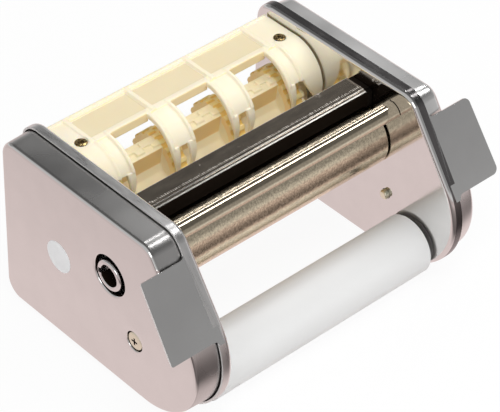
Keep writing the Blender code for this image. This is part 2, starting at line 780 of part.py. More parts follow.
def shaft(radius, axis, gear_end):
    return rod(radius, axis, -gear_end, SHAFT_TAIL, SMALL, SHAFT_CHAMFER)


def build():
    for made in list(bpy.data.objects):
        bpy.data.objects.remove(made)
    finish(side_plate(-1, LEFT_TAB_CORNER), "side_plate_left", *CHROME)
    finish(side_plate(1, RIGHT_TAB_CORNER), "side_plate_right", *CHROME)
    for side, word in ((-1, "left"), (1, "right")):
        finish(side_cover(side), "side_cover_" + word, *CHROME)
        finish(cover_screw(side), "cover_screw_" + word, *STEEL)
        finish(comb_screw(side), "comb_screw_" + word, *BRONZE)
        finish(nut(TUBE_AXIS, side), "tube_nut_" + word, *STEEL)
        finish(nut(REAR_ROD_AXIS, side), "rear_nut_" + word, *STEEL)
        finish(bush(STEEL_AXIS, STEEL_SHAFT_R, side), "steel_bush_" + word, *NYLON)
        finish(bush(UPPER_AXIS, FORM_SHAFT_R, side), "upper_bush_" + word, *NYLON)
        finish(bush(LOWER_AXIS, FORM_SHAFT_R, side), "lower_bush_" + word, *NYLON)
        finish(tube_plug(side), "tube_plug_" + word, *WHITE, at(TUBE_AXIS))
    finish(comb(), "comb", *CREAM)
    finish(exit_guard(), "exit_guard", *NICKEL)
    finish(front_lip(), "front_lip", *NICKEL)
    tube = sleeve(TUBE_AXIS, TUBE_R - TUBE_WALL, TUBE_R, TUBE_END, 0.5)
    finish(tube, "guide_tube", *WHITE, at(TUBE_AXIS))
    finish(rod(ROD_R, TUBE_AXIS, -ROD_END, ROD_END, SMALL, 0.6), "tube_rod", *STEEL)
    finish(rod(ROD_R, REAR_ROD_AXIS, -ROD_END, ROD_END, SMALL, 0.6), "rear_rod", *STEEL)
    roller = sleeve(STEEL_AXIS, STEEL_SHAFT_R + CLEAR, STEEL_R, ROLLER_END, 0.6)
    finish(roller, "steel_roller", *NICKEL, at(STEEL_AXIS))
    steel = shaft(STEEL_SHAFT_R, STEEL_AXIS, SOCKET_SEAT - CLEAR)
    finish(steel, "steel_shaft", *STEEL, at(STEEL_AXIS))
    finish(crank_socket(), "crank_socket", *CHROME, at(STEEL_AXIS))
    # The lower ribs face the upper ones midway between the two axes, so the angles add up.
    along = math.degrees(math.atan2(LOWER_AXIS[1] - UPPER_AXIS[1], LOWER_AXIS[0] - UPPER_AXIS[0]))
    lower_rib_angle = (2 * along + 180 - UPPER_RIB_ANGLE) % (360 / RIBS)
    steel_phase = 0.0
    lower_phase = meshing_phase(STEEL_AXIS, steel_phase, LOWER_AXIS)
    upper_phase = meshing_phase(LOWER_AXIS, lower_phase, UPPER_AXIS)
    finish(gear(STEEL_AXIS, steel_phase, STEEL_SHAFT_R), "steel_gear", *NYLON, at(STEEL_AXIS))
    for word, axis, phase, angle in (
        ("lower", LOWER_AXIS, lower_phase, lower_rib_angle),
        ("upper", UPPER_AXIS, upper_phase, UPPER_RIB_ANGLE),
    ):
        finish(forming_roller(axis, angle), "forming_roller_" + word, *CREAM, at(axis))
        finish(shaft(FORM_SHAFT_R, axis, GEAR_X1 + 1.3), word + "_shaft", *STEEL, at(axis))
        finish(gear(axis, phase, FORM_SHAFT_R), word + "_gear", *NYLON, at(axis))


build()
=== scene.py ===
"""Looks of the ravioli maker: finer forms, finishes, light and camera round the CAD frame.

Lengths are millimetres; every mesh is scaled to metres as its piece is made.
X runs along the rollers, -Y is the side with the two tabs, +Z is up and Z = 0 is the table.
"""

import math

import bmesh
import bpy
from mathutils import Matrix, Vector

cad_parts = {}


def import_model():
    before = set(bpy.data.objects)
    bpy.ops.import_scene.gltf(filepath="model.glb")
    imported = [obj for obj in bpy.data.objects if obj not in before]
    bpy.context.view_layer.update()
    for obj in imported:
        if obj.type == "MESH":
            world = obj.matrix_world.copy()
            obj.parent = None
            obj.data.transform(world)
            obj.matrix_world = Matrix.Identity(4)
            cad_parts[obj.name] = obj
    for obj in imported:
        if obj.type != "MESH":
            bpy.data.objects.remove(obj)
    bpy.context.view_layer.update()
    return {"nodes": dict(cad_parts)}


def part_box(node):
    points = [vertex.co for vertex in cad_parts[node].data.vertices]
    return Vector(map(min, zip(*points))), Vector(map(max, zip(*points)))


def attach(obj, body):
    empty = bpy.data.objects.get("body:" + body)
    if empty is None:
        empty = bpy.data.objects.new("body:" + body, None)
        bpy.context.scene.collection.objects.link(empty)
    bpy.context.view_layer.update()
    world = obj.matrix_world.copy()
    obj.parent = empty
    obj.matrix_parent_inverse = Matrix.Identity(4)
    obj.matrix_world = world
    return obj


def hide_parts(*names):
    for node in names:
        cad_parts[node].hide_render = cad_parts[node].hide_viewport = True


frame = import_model()
nodes = frame["nodes"]

MM = 0.001
CLEAR = 0.3  # the frame's clearance between two pieces


def span(node):
    low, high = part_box(node)
    return low / MM, high / MM


def axis_of(node):
    low, high = span(node)
    return ((low.y + high.y) / 2, (low.z + high.z) / 2)


# Read from the frame
INNER = span("exit_guard")[1].x + CLEAR
HEIGHT = span("side_plate_right")[1].z
STEEL_AXIS = axis_of("steel_roller")
UPPER_AXIS = axis_of("upper_shaft")
LOWER_AXIS = axis_of("lower_shaft")
TUBE_AXIS = axis_of("guide_tube")
COVER_SCREW_AXIS = axis_of("cover_screw_left")
STEEL_R = STEEL_AXIS[1] - span("steel_roller")[0].z
TUBE_R = TUBE_AXIS[1] - span("guide_tube")[0].z
LEFT_FACE = -span("side_cover_left")[0].x
RIGHT_FACE = span("side_cover_right")[1].x
SOCKET_END = -span("crank_socket")[0].x
ROLLER_END = span("steel_roller")[1].x
TUBE_END = span("guide_tube")[1].x
COMB_BACK_Y = span("comb")[1].y
COMB_END = span("comb")[1].x
COMB_SCREW_X = (span("comb_screw_right")[0].x + span("comb_screw_right")[1].x) / 2
COMB_SCREW_Y = (span("comb_screw_right")[0].y + span("comb_screw_right")[1].y) / 2
GUARD_FRONT = span("exit_guard")[0].y
GUARD_BACK = span("exit_guard")[1].y
GUARD_TOP = span("exit_guard")[1].z

# Outline and sheet of the side plates
TOP_FRONT_Y = STEEL_AXIS[0] - 34.8
TOP_BACK_Y = TOP_FRONT_Y + 128.5
SLANT = 0.656  # forward travel of the front edge for each millimetre down
LEAN = 0.04  # backward travel of the back edge for each millimetre down
R_TOP_FRONT = 14.0
R_TOP_BACK = 14.0
R_BOTTOM_BACK = 14.0
R_BOTTOM_FRONT = 47.0
PLATE_T = 1.2
PLATE_BEND = 3.0
FLANGE = 7.0
TAB_TOP_S = 15.1  # along the front slant, from its top corner
TAB_BOTTOM_S = 62.6
TAB_REACH_TOP = 36.8
TAB_REACH_BOTTOM = 38.6
TAB_FILLET = 3.0
LEFT_TAB_CORNER = 1.2
RIGHT_TAB_CORNER = 4.0
LUG_T = 1.6  # the lug that the comb's screw goes into
LUG_HALF = 9.0
LUG_FRONT = 6.0
LUG_BACK = 12.0
LUG_HOLE_R = 1.9
COVER_T = 1.0
COVER_INSET = PLATE_T + CLEAR + 0.45  # leaves a dark line inside the flange
COVER_LAP = 1.6
COVER_BOSS_R = 11.6
LEFT_COVER = (LEFT_FACE, 2.6, 0.7)  # face, radius of its edge, draft of its walls
RIGHT_COVER = (RIGHT_FACE, 4.0, 1.2)

# Rollers
STEEL_SHAFT_R = 5.0
FORM_SHAFT_R = 4.0
BUSH_WALL = 2.0
FORM_R = 19.5
END_DISC_INSET = 17.4  # from the side plate to the middle of an end disc
DISC_PITCH = (INNER - END_DISC_INSET) / 1.5
DISC_MIDDLES = [(k - 1.5) * DISC_PITCH for k in range(4)]
DISC_HALF = 5.0
DISC_TEETH = 20
DISC_NOTCH = 1.1
DISC_RIM = 2.2  # the end discs are this much thicker outwards
DISC_PHASE = 3.0
DISC_SHADE_R = 14.5  # outside this radius the discs' sides get a tan painted shade
DISC_CREST = 0.4  # depth of the teeth's crests, painted a lighter amber as painted light
RIBS = 3
RIB_HALF = 5.5
RIB_TOP = 18.0
ZIGZAG_TOP = 19.4
ZIGZAG_STEP = 5.6
ZIGZAG_HALF = 2.1
ZIGZAG_SWING = 1.6
FLOOR = 7.75
COLLAR_R = 11.5
UPPER_RIB_ANGLE = 99.5
UPPER_GRID = 0.42  # the mouldings' voxels
LOWER_GRID = 0.8
COMB_GRID = 0.36

# Comb
COMB_AXIS = (UPPER_AXIS[0] + 0.2, HEIGHT - 30.1)
COMB_R = 24.0
COMB_T = 3.0
COMB_SKIN = 0.6  # depth of the comb's face below its beads
COMB_FLOOR = COMB_SKIN + 0.9  # depth of the panels' floors
COMB_BAND_HALF = 8.65
COMB_TIP_ANGLE = 111.0
COMB_FORK_ANGLE = 66.0
COMB_FORK_HALF = 3.2
COMB_TIP_END = 4.0  # width of the tips at the comb's ends
COMB_TIP_NEAR = 1.6  # the other tips lie between these distances
COMB_TIP_FAR = 2.4  # from their fork's gap
COMB_WALL = 6.0  # depth of the wall over each window
COMB_BACK_BEAD = 2.0
COMB_FRONT_BEAD = 2.4
COMB_END_BEAD = 1.3
COMB_END_STEP = 2.0  # from an end disc's middle to the comb end's bead
RIDGE_SHIFT = 2.9
RIDGE_HALF = 0.8
PANEL_MARGIN = 1.9
PANEL_BACK = 4.2
PANEL_FRONT = 4.8

# Lip, guard, socket and fixings
LIP_CENTRE = (STEEL_AXIS[0] - 19.5, HEIGHT - 18.6)
LIP_R = 8.2
LIP_T = 1.4
GUARD_STOP = 4.9  # the top stops this far short of the right plate
GUARD_T = 1.3
GUARD_FRONT_DROP = 10.6
GUARD_BACK_DROP = 11.6
TONGUE_DROP = 1.2
TICKS_PER_METRE = 770.0
TICK_SHARE = 0.38  # of the distance from one tick to the next
TICK_START = 4.4  # behind the guard's front edge
TICK_ENDS = (5.0, 6.6)  # the shortest and the longest
SCRATCH_START = 7.0
SOCKET_HOLE_R = 12.4
SOCKET_R = 9.65
SOCKET_BORE_R = 6.3
SOCKET_SEAT = 8.5  # depth of the bore
SOCKET_HUB = 3.3
KEY_HALF = 1.6
KEY_HEIGHT = 1.9
SCREW_SEAT = 2.6  # depth of the cover screws' seats
SCREW_SEAT_R = 6.2
SCREW_HEAD_R = 5.7
COVER_SCREW_R = 3.0
THREAD_LENGTH = 9.0
THREAD_PITCH = 0.9
ROD_R = 4.0
TUBE_WALL = 3.2
STICKER_R = 10.0
STICKER_PLACE = (TOP_FRONT_Y + 78.9, HEIGHT - 58.0)

# Fineness of the visible forms
BEND_STEPS = 7
CORNER_STEPS = 14
LONG_CORNER_STEPS = 40
BAND_STEPS = 26
PRONG_STEPS = 16
SMALL_ROUND = 48
ROUND = 72
LARGE_ROUND = 96


# Mesh helpers
def object_from(bm):
    bmesh.ops.recalc_face_normals(bm, faces=bm.faces)
    mesh = bpy.data.meshes.new("piece")
    bm.to_mesh(mesh)
    bm.free()
    made = bpy.data.objects.new("piece", mesh)
    bpy.context.scene.collection.objects.link(made)
    return made


def loft(rings, wrap=False):
    """Joins rings of points of equal count; wrap closes the last ring to the first."""
    bm = bmesh.new()
    rows = [[bm.verts.new(p) for p in ring] for ring in rings]
    count = len(rows[0])
    pairs = list(zip(rows, rows[1:]))
    if wrap:
        pairs.append((rows[-1], rows[0]))
    for one, two in pairs:
        for i in range(count):
            j = (i + 1) % count
            bm.faces.new((one[i], one[j], two[j], two[i]))
    if not wrap:
        bm.faces.new(rows[0][::-1])
        bm.faces.new(rows[-1])
    return object_from(bm)


def prism(shape, x0, x1):
    """A (y, z) shape carried from x0 to x1."""
    return loft([[(x0, y, z) for y, z in shape], [(x1, y, z) for y, z in shape]])


def box(x0, x1, y0, y1, z0, z1):
    return prism([(y0, z0), (y1, z0), (y1, z1), (y0, z1)], x0, x1)


def turn_steps(count):
    return [2 * math.pi * i / count for i in range(count)]


def circle(radius, axis, steps=ROUND):
    return [(axis[0] + radius * math.cos(a), axis[1] + radius * math.sin(a)) for a in turn_steps(steps)]


def arc_between(centre, radius, first, last, steps=CORNER_STEPS):
    """Points on an arc, from its first angle to its last in degrees."""
    points = []
    for i in range(steps + 1):
        a = math.radians(first + (last - first) * i / steps)
        points.append((centre[0] + radius * math.cos(a), centre[1] + radius * math.sin(a)))
    return points


def turned(profile, axis, steps=ROUND, bored=False):
    """Revolves (x, radius) points about an X line; bored profiles close on themselves."""
    return loft([[(x, y, z) for y, z in circle(r, axis, steps)] for x, r in profile], wrap=bored)


def rod(radius, axis, x0, x1, steps=ROUND):
    return turned([(x0, radius), (x1, radius)], axis, steps)


def upright(profile, x, y, steps=SMALL_ROUND):
    """Revolves (z, radius) points about an upright line."""
    rings = []
    for z, r in profile:
        rings.append([(x + r * math.cos(a), y + r * math.sin(a), z) for a in turn_steps(steps)])
    return loft(rings)


def applied(made):
    """Turns the object's modifiers into its mesh."""
    graph = bpy.context.evaluated_depsgraph_get()
    mesh = bpy.data.meshes.new_from_object(made.evaluated_get(graph))
    made.modifiers.clear()
    made.data = mesh
    return made


def combine(target, other, operation):
    """Adds the other object to the target, or cuts it out of it, and uses it up."""
    change = target.modifiers.new("combine", "BOOLEAN")
    change.operation = operation
    change.solver = "EXACT"
    change.object = other
    applied(target)
    bpy.data.objects.remove(other)
    return target


def cut(target, other):
    return combine(target, other, "DIFFERENCE")


def join(target, other):
    return combine(target, other, "UNION")


def soften(made, grid):
    """Rebuilds a moulding on an even grid and eases its edges, as a mould would."""
    change = made.modifiers.new("grid", "REMESH")
    change.mode = "VOXEL"
    change.voxel_size = grid
    change = made.modifiers.new("ease", "SMOOTH")
    change.factor = 0.5
    change.iterations = 2
    return applied(made)


def refinish_or_shade(made, test, slot=1):
    """Gives the faces whose middle and normal pass the test another of the piece's finishes or painted
    shades.
    """
    for face in made.data.polygons:
        if test(face.center, face.normal):
            face.material_index = slot
    return made


def sided(made, side):
    """Leaves a piece of the right side as it is, or turns it into its left twin."""
    if side > 0:
        return made
    bm = bmesh.new()
    bm.from_mesh(made.data)
    bmesh.ops.transform(bm, matrix=Matrix.Diagonal((-1, 1, 1, 1)), verts=bm.verts)
    bmesh.ops.reverse_faces(bm, faces=bm.faces)
    bm.to_mesh(made.data)
    bm.free()
    return made


def dress(made, name, body, finishes, bevel=0.0, stands_in=True):
    """Makes a piece of a mesh: in metres, bevelled, given its finishes and painted shades, on its body, in
    its CAD node's place.
    """
    made.name = name
    made.data.name = name
    made.data.transform(Matrix.Scale(MM, 4))
    for finish in finishes:
        made.data.materials.append(finish)
    for face in made.data.polygons:
        face.use_smooth = True
    if bevel:
        change = made.modifiers.new("edges", "BEVEL")
        change.width = bevel * MM
        change.segments = 2
        change.limit_method = "ANGLE"
        change.angle_limit = math.radians(32)
        change.use_clamp_overlap = True
    change = made.modifiers.new("normals", "WEIGHTED_NORMAL")
    change.keep_sharp = True
    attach(made, body)
    if stands_in:
        node = name.replace("_look", "")
        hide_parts(node)


# Materials
class NodeTree:
    """Short calls that add nodes to the tree of its owner, a material or a world."""

    def __init__(self, owner):
        self.owner = owner
        owner.use_nodes = True
        self.tree = owner.node_tree

    def clear(self):
        self.tree.nodes.clear()

    def node(self, kind, **settings):
        made = self.tree.nodes.new(kind)
        for key, value in settings.items():
            setattr(made, key, value)
        return made

    def link(self, source, target):
        self.tree.links.new(source, target)

    def part(self, vector, axis):
        split = self.node("ShaderNodeSeparateXYZ")
        self.link(vector, split.inputs[0])
        return split.outputs[axis]

    def ramp(self, source, low, high, out_low=0.0, out_high=1.0):
        made = self.node("ShaderNodeMapRange")
        for key, value in zip(("From Min", "From Max", "To Min", "To Max"), (low, high, out_low, out_high)):
            made.inputs[key].default_value = value
        self.link(source, made.inputs["Value"])
        return made.outputs["Result"]

    def math(self, operation, one, two):
        made = self.node("ShaderNodeMath", operation=operation)
        for value, socket in zip((one, two), made.inputs):
            if isinstance(value, (int, float)):
                socket.default_value = value
            else:
                self.link(value, socket)
        return made.outputs[0]

    def mix_shaders(self, factor, one, two):
        made = self.node("ShaderNodeMixShader")
        for source, socket in zip((factor, one, two), made.inputs):
            self.link(source, socket)
        return made.outputs[0]

    def by_ray(self, plain, mirrored, seen, share, output):
        """Lights matt faces with plain, fills mirrors with mirrored, shows the camera a share of seen."""
        path = self.node("ShaderNodeLightPath")
        rest = self.mix_shaders(path.outputs["Is Glossy Ray"], plain, mirrored)
        factor = self.math("MULTIPLY", path.outputs["Is Camera Ray"], share)
        self.link(self.mix_shaders(factor, rest, seen), self.node(output).inputs["Surface"])


class Paint(NodeTree):
    """A Principled material made of noises, ramps and bumps."""

    def __init__(self, name, colour, metallic=0.0, roughness=0.4):
        super().__init__(bpy.data.materials.new(name))
        self.shader = self.tree.nodes["Principled BSDF"]
        self.shader.inputs["Base Color"].default_value = (*colour, 1.0)
        self.shader.inputs["Metallic"].default_value = metallic
        self.shader.inputs["Roughness"].default_value = roughness
        self.place = self.node("ShaderNodeTexCoord").outputs["Object"]
        self.normal = None

    def noise(self, scale, stretch=(1, 1, 1), detail=3.0, rough=0.55):
        mapping = self.node("ShaderNodeMapping")
        mapping.inputs["Scale"].default_value = stretch
        self.link(self.place, mapping.inputs["Vector"])
        made = self.node("ShaderNodeTexNoise")
        made.inputs["Scale"].default_value = scale
        made.inputs["Detail"].default_value = detail
        made.inputs["Roughness"].default_value = rough
        self.link(mapping.outputs["Vector"], made.inputs["Vector"])
        return made.outputs["Fac"]

    def mix(self, factor, one, two):
        """Mixes two colours, which go into the node's sockets 6 and 7."""
        made = self.node("ShaderNodeMix", data_type="RGBA")
        self.link(factor, made.inputs["Factor"])
        for value, socket in zip((one, two), made.inputs[6:8]):
            if isinstance(value, tuple):
                socket.default_value = (*value, 1.0)
            else:
                self.link(value, socket)
        return made.outputs[2]

    def along(self, axis):
        return self.part(self.place, axis)

    def colour(self, factor, one, two):
        self.link(self.mix(factor, one, two), self.shader.inputs["Base Color"])

    def roughness(self, source):
        self.link(source, self.shader.inputs["Roughness"])

    def bump(self, source, strength, depth):
        made = self.node("ShaderNodeBump")
        made.inputs["Strength"].default_value = strength
        made.inputs["Distance"].default_value = depth * MM
        self.link(source, made.inputs["Height"])
        if self.normal:
            self.link(self.normal, made.inputs["Normal"])
        self.normal = made.outputs["Normal"]
        self.link(self.normal, self.shader.inputs["Normal"])


def dimmed(colour, share):
    return tuple(share * part for part in colour)


def chrome(name, colour=(0.80, 0.79, 0.78), roughness=0.07):
    """Chromed sheet, faintly smeared and never quite flat."""
    p = Paint(name, colour, 1.0, roughness)
    smear = p.noise(22.0, detail=2.0)
    p.roughness(p.ramp(smear, 0.3, 0.7, roughness, roughness * 1.7))
    p.colour(p.ramp(p.noise(60.0), 0.35, 0.65), dimmed(colour, 0.97), colour)
    p.bump(p.noise(14.0, detail=1.0), 0.25, 0.05)
    return p.owner


def nickel(name, colour, roughness, grain, stretch, depth=0.35, dim=0.86):
    """Nickel steel with a fine grain that stretch draws out, as a Paint to add to."""
    p = Paint(name, colour, 1.0, roughness)
    fine = p.noise(grain, stretch, 4.0, 0.7)
    p.roughness(p.ramp(fine, 0.3, 0.7, roughness * 0.8, roughness * 1.35))
    p.colour(p.ramp(fine, 0.35, 0.65), dimmed(colour, dim), colour)
    p.bump(fine, depth, 0.06)
    return p


def guard_finish():
    """The guard's dark mirror, with a row of short scratches along its front edge."""
    p = nickel("guard_steel", (0.52, 0.45, 0.37), 0.14, 260.0, (0.25, 1, 1))
    # Ticks a little over a millimetre apart, each of its own length and strength
    wander = p.noise(700.0, (1.0, 0.0, 0.0), 1.0)
    place = p.math("ADD", p.math("MULTIPLY", p.along("X"), TICKS_PER_METRE), wander)
    ticks = p.math("LESS_THAN", p.math("FRACT", place, 0.0), TICK_SHARE)
    y = p.math("SUBTRACT", p.along("Y"), GUARD_FRONT * MM)
    ends = [end * MM for end in TICK_ENDS]
    back = p.ramp(p.noise(430.0, (1.0, 0.0, 0.0), 2.0), 0.3, 0.7, *ends)
    band = p.math("MULTIPLY", p.math("GREATER_THAN", y, TICK_START * MM), p.math("LESS_THAN", y, back))
    strength = p.ramp(p.noise(900.0), 0.35, 0.65, 0.15, 0.8)
    marks = p.math("MULTIPLY", p.math("MULTIPLY", ticks, band), strength)
    stray = p.ramp(p.noise(160.0, (0.6, 1.0, 1.0), 3.0, 0.7), 0.66, 0.74)
    stray = p.math("MULTIPLY", stray, p.math("GREATER_THAN", y, SCRATCH_START * MM))
    marks = p.math("MAXIMUM", marks, p.math("MULTIPLY", stray, 0.4))
    base = p.shader.inputs["Base Color"].links[0].from_socket
    p.colour(marks, base, (1.0, 0.95, 0.88))
    rough = p.shader.inputs["Roughness"].links[0].from_socket
    p.roughness(p.math("ADD", rough, p.math("MULTIPLY", marks, 0.5)))
    p.link(p.math("SUBTRACT", 1.0, marks), p.shader.inputs["Metallic"])
    return p.owner


def painted_shade_steel():
    """Near-black matt steel, painted shade inside the slot, the holes and the recesses."""
    p = Paint("slot_steel", (0.008, 0.004, 0.002), 0.0, 0.7)
    p.shader.inputs["Specular IOR Level"].default_value = 0.1
    p.colour(p.noise(80.0), (0.006, 0.003, 0.001), (0.012, 0.007, 0.004))
    return p.owner


def cream(name, pale, deep, roughness=0.34):
    """Cream moulded plastic whose warmth varies a little."""
    p = Paint(name, pale, 0.0, roughness)
    p.shader.inputs["Subsurface Weight"].default_value = 0.25
    p.shader.inputs["Subsurface Radius"].default_value = (0.004, 0.0025, 0.001)
    p.shader.inputs["Subsurface Scale"].default_value = 1.0
    p.shader.inputs["Specular IOR Level"].default_value = 0.35
    p.colour(p.ramp(p.noise(30.0, detail=2.0), 0.3, 0.7), deep, pale)
    p.roughness(p.ramp(p.noise(90.0), 0.3, 0.7, roughness, roughness + 0.12))
    p.bump(p.noise(150.0, detail=2.0), 0.12, 0.04)
    return p.owner


def white_plastic(name, colour):
    """White moulded plastic with a soft sheen and faint lengthwise waves."""
    p = Paint(name, colour, 0.0, 0.42)
    p.shader.inputs["Specular IOR Level"].default_value = 0.3
    p.colour(p.ramp(p.noise(24.0), 0.3, 0.7), dimmed(colour, 0.985), colour)
    p.roughness(p.ramp(p.noise(120.0), 0.3, 0.7, 0.38, 0.5))
    p.bump(p.noise(300.0, (0.2, 1, 1)), 0.08, 0.02)
    return p.owner


def turned_steel(name, colour=(0.66, 0.65, 0.63), roughness=0.22, metallic=1.0):
    """Steel with the fine rings that a lathe leaves."""
    p = Paint(name, colour, metallic, roughness)
    rings = p.noise(500.0, (1.0, 0.05, 0.05), 2.0)
    p.roughness(p.ramp(rings, 0.3, 0.7, roughness, roughness + 0.1))
    p.colour(rings, dimmed(colour, 0.9), colour)
    p.bump(rings, 0.2, 0.02)
    return p.owner


def bronzed():
    """Dark bronzed screw steel with brassy specks scattered at random."""
    p = Paint("bronzed_steel", (0.10, 0.06, 0.02), 1.0, 0.3)
    brassy_specks = p.ramp(p.noise(900.0, detail=3.0), 0.45, 0.6)
    p.colour(brassy_specks, (0.10, 0.065, 0.03), (0.75, 0.55, 0.25))
    p.roughness(p.ramp(brassy_specks, 0.0, 1.0, 0.45, 0.25))
    p.bump(brassy_specks, 0.3, 0.05)
    return p.owner


def paper():
    """The sticker's matt paper."""
    p = Paint("sticker_paper", (0.93, 0.93, 0.93), 0.0, 0.55)
    p.colour(p.noise(400.0), (0.90, 0.90, 0.91), (0.97, 0.97, 0.97))
    p.bump(p.noise(700.0), 0.1, 0.02)
    return p.owner


CHROME = chrome("chrome")
STEEL = turned_steel("turned_steel")
ZINC = turned_steel("zinc_steel", (0.60, 0.60, 0.58), 0.32)
GUARD = guard_finish()
PAINTED_SHADE = painted_shade_steel()
LIP = nickel("lip_steel", (0.92, 0.79, 0.60), 0.07, 900.0, (0.8, 1, 1), 0.2, 0.8).owner
GROUND = nickel("ground_steel", (1.0, 0.86, 0.64), 0.17, 750.0, (1, 1, 1), 0.8, 0.62).owner
# The two covers' walls are copies of one satin: painted shade on the left, painted light on the right
WALL_LEFT_SHADED = chrome("satin_wall_left", (0.58, 0.57, 0.56), 0.20)
WALL_RIGHT_LIT = chrome("satin_wall_right", (0.93, 0.92, 0.91), 0.22)
FLANGE_LEFT = nickel("flange_steel_left", (0.84, 0.83, 0.82), 0.30, 240.0, (1.0, 0.15, 0.15)).owner
# The right flange is a darker copy of the left one, painted shade
FLANGE_RIGHT_SHADED = nickel("flange_steel_right", (0.20, 0.19, 0.19), 0.22, 240.0, (1.0, 0.15, 0.15)).owner
# Light steel for the guard's edges: partly their bare metal, partly a painted highlight
EDGE_HIGHLIGHT = turned_steel("bright_edge", (0.92, 0.88, 0.82), 0.40)
SLEEVE = turned_steel("sleeve_steel", (0.86, 0.85, 0.84), 0.12)
HEAD = turned_steel("screw_steel", (0.92, 0.89, 0.72), 0.30)
# Light matt steel for the plates' cut edges: partly the bare edge, partly a painted highlight
CUT_EDGE_HIGHLIGHT = turned_steel("cut_edge", (0.90, 0.89, 0.88), 0.45, 0.4)
COMB_CREAM = cream("comb_cream", (0.95, 0.86, 0.68), (0.93, 0.83, 0.62))
# A darker cream painted on the comb's sunk panel floors as painted shade
PANEL_SHADE_CREAM = cream("panel_cream", (0.81, 0.71, 0.49), (0.79, 0.68, 0.45))
ROLLER_CREAM = cream("roller_cream", (0.97, 0.87, 0.63), (0.96, 0.84, 0.57))
# Roller teeth in deep gold as painted shade, their crests a lighter amber as painted light
TOOTH_SHADE_CREAM = cream("gold_cream", (0.96, 0.70, 0.24), (0.93, 0.63, 0.18))
CREST_LIGHT_CREAM = cream("amber_cream", (0.98, 0.82, 0.42), (0.96, 0.76, 0.34))
# A warmer cream on the comb's front-facing walls as painted shade
WALL_SHADE_CREAM = cream("thin_cream", (0.98, 0.82, 0.54), (0.97, 0.78, 0.46))
# A tan cream on the rollers' rib flanks and disc sides as painted shade
FLANK_SHADE_CREAM = cream("tan_cream", (0.98, 0.77, 0.42), (0.96, 0.72, 0.36))
WHITE = white_plastic("white_plastic", (0.75, 0.75, 0.745))
NYLON = white_plastic("nylon", (0.80, 0.80, 0.77))
BRONZE = bronzed()
PAPER = paper()


# Side plates and covers
def front_centre(radius, drop):
    """Centre, drop below the top, of an arc that touches the front edge from behind."""
    return (TOP_FRONT_Y - SLANT * drop + radius * math.hypot(1, SLANT), HEIGHT - drop)


def back_centre(radius, drop):
    """Centre, drop below the top, of an arc that touches the back edge from in front."""
    return (TOP_BACK_Y + LEAN * drop - radius * math.hypot(1, LEAN), HEIGHT - drop)


def outline(inset):
    """The plate's side outline, moved inwards by inset, as (y, z) points."""
    slant_deg = math.degrees(math.atan(SLANT))
    lean_deg = math.degrees(math.atan(LEAN))
    top_front = front_centre(R_TOP_FRONT, R_TOP_FRONT)
    top_back = back_centre(R_TOP_BACK, R_TOP_BACK)
    bottom_back = back_centre(R_BOTTOM_BACK, HEIGHT - R_BOTTOM_BACK)
    bottom_front = front_centre(R_BOTTOM_FRONT, HEIGHT - R_BOTTOM_FRONT)
    points = arc_between(top_back, R_TOP_BACK - inset, 90, lean_deg)
    points += arc_between(bottom_back, R_BOTTOM_BACK - inset, lean_deg, -90)
    points += arc_between(bottom_front, R_BOTTOM_FRONT - inset, -90, -180 - slant_deg, LONG_CORNER_STEPS)
    points += arc_between(top_front, R_TOP_FRONT - inset, 180 - slant_deg, 90)
    return points


def outline_ring(x, inset):
    return [(x, y, z) for y, z in outline(inset)]


def bend(centre, radius, first, last):
    """Outline rings round a bend in the sheet, whose centre is an (x, inset) point."""
    return [outline_ring(x, inset) for x, inset in arc_between(centre, radius, first, last, BEND_STEPS)]


def slant_point(s, lift):
    """A point s along the front slant from the top corner, lifted off it by lift."""
    long = math.hypot(1, SLANT)
    y = TOP_FRONT_Y - SLANT / long * s - lift / long
    z = HEIGHT - s / long + lift * SLANT / long
    return y, z


def rounded_corner(corner, before, after, radius, steps=8):
    """Points that round a corner of an outline with the given radius."""
    corner, before, after = Vector(corner), Vector(before), Vector(after)
    a = (before - corner).normalized()
    b = (after - corner).normalized()
    half = math.acos(max(-1.0, min(1.0, a.dot(b)))) / 2
    reach = radius / math.tan(half)
    centre = corner + (a + b).normalized() * radius / math.sin(half)
    start = corner + a * reach - centre
    end = corner + b * reach - centre
    points = []
    for i in range(steps + 1):
        points.append(tuple(centre + start.lerp(end, i / steps).normalized() * radius))
    return points


def tab(corner_radius):
    """The tab that stands out from the flange, in the plane of the front slant."""
    root = INNER + PLATE_BEND + 0.5
    edge = INNER + FLANGE
    a = (edge, TAB_TOP_S - TAB_FILLET)
    b = (edge, TAB_TOP_S)
    c = (INNER + TAB_REACH_TOP, TAB_TOP_S)
    d = (INNER + TAB_REACH_BOTTOM, TAB_BOTTOM_S)
    e = (edge, TAB_BOTTOM_S)
    f = (edge, TAB_BOTTOM_S + TAB_FILLET)
    shape = [(root, TAB_TOP_S - TAB_FILLET)]
    shape += rounded_corner(b, a, c, TAB_FILLET)
    shape += rounded_corner(c, b, d, corner_radius)
    shape += rounded_corner(d, c, e, corner_radius)
    shape += rounded_corner(e, d, f, TAB_FILLET)
    shape += [(root, TAB_BOTTOM_S + TAB_FILLET)]
    low = [(x, *slant_point(s, -PLATE_T)) for x, s in shape]
    high = [(x, *slant_point(s, 0.0)) for x, s in shape]
    return loft([low, high])


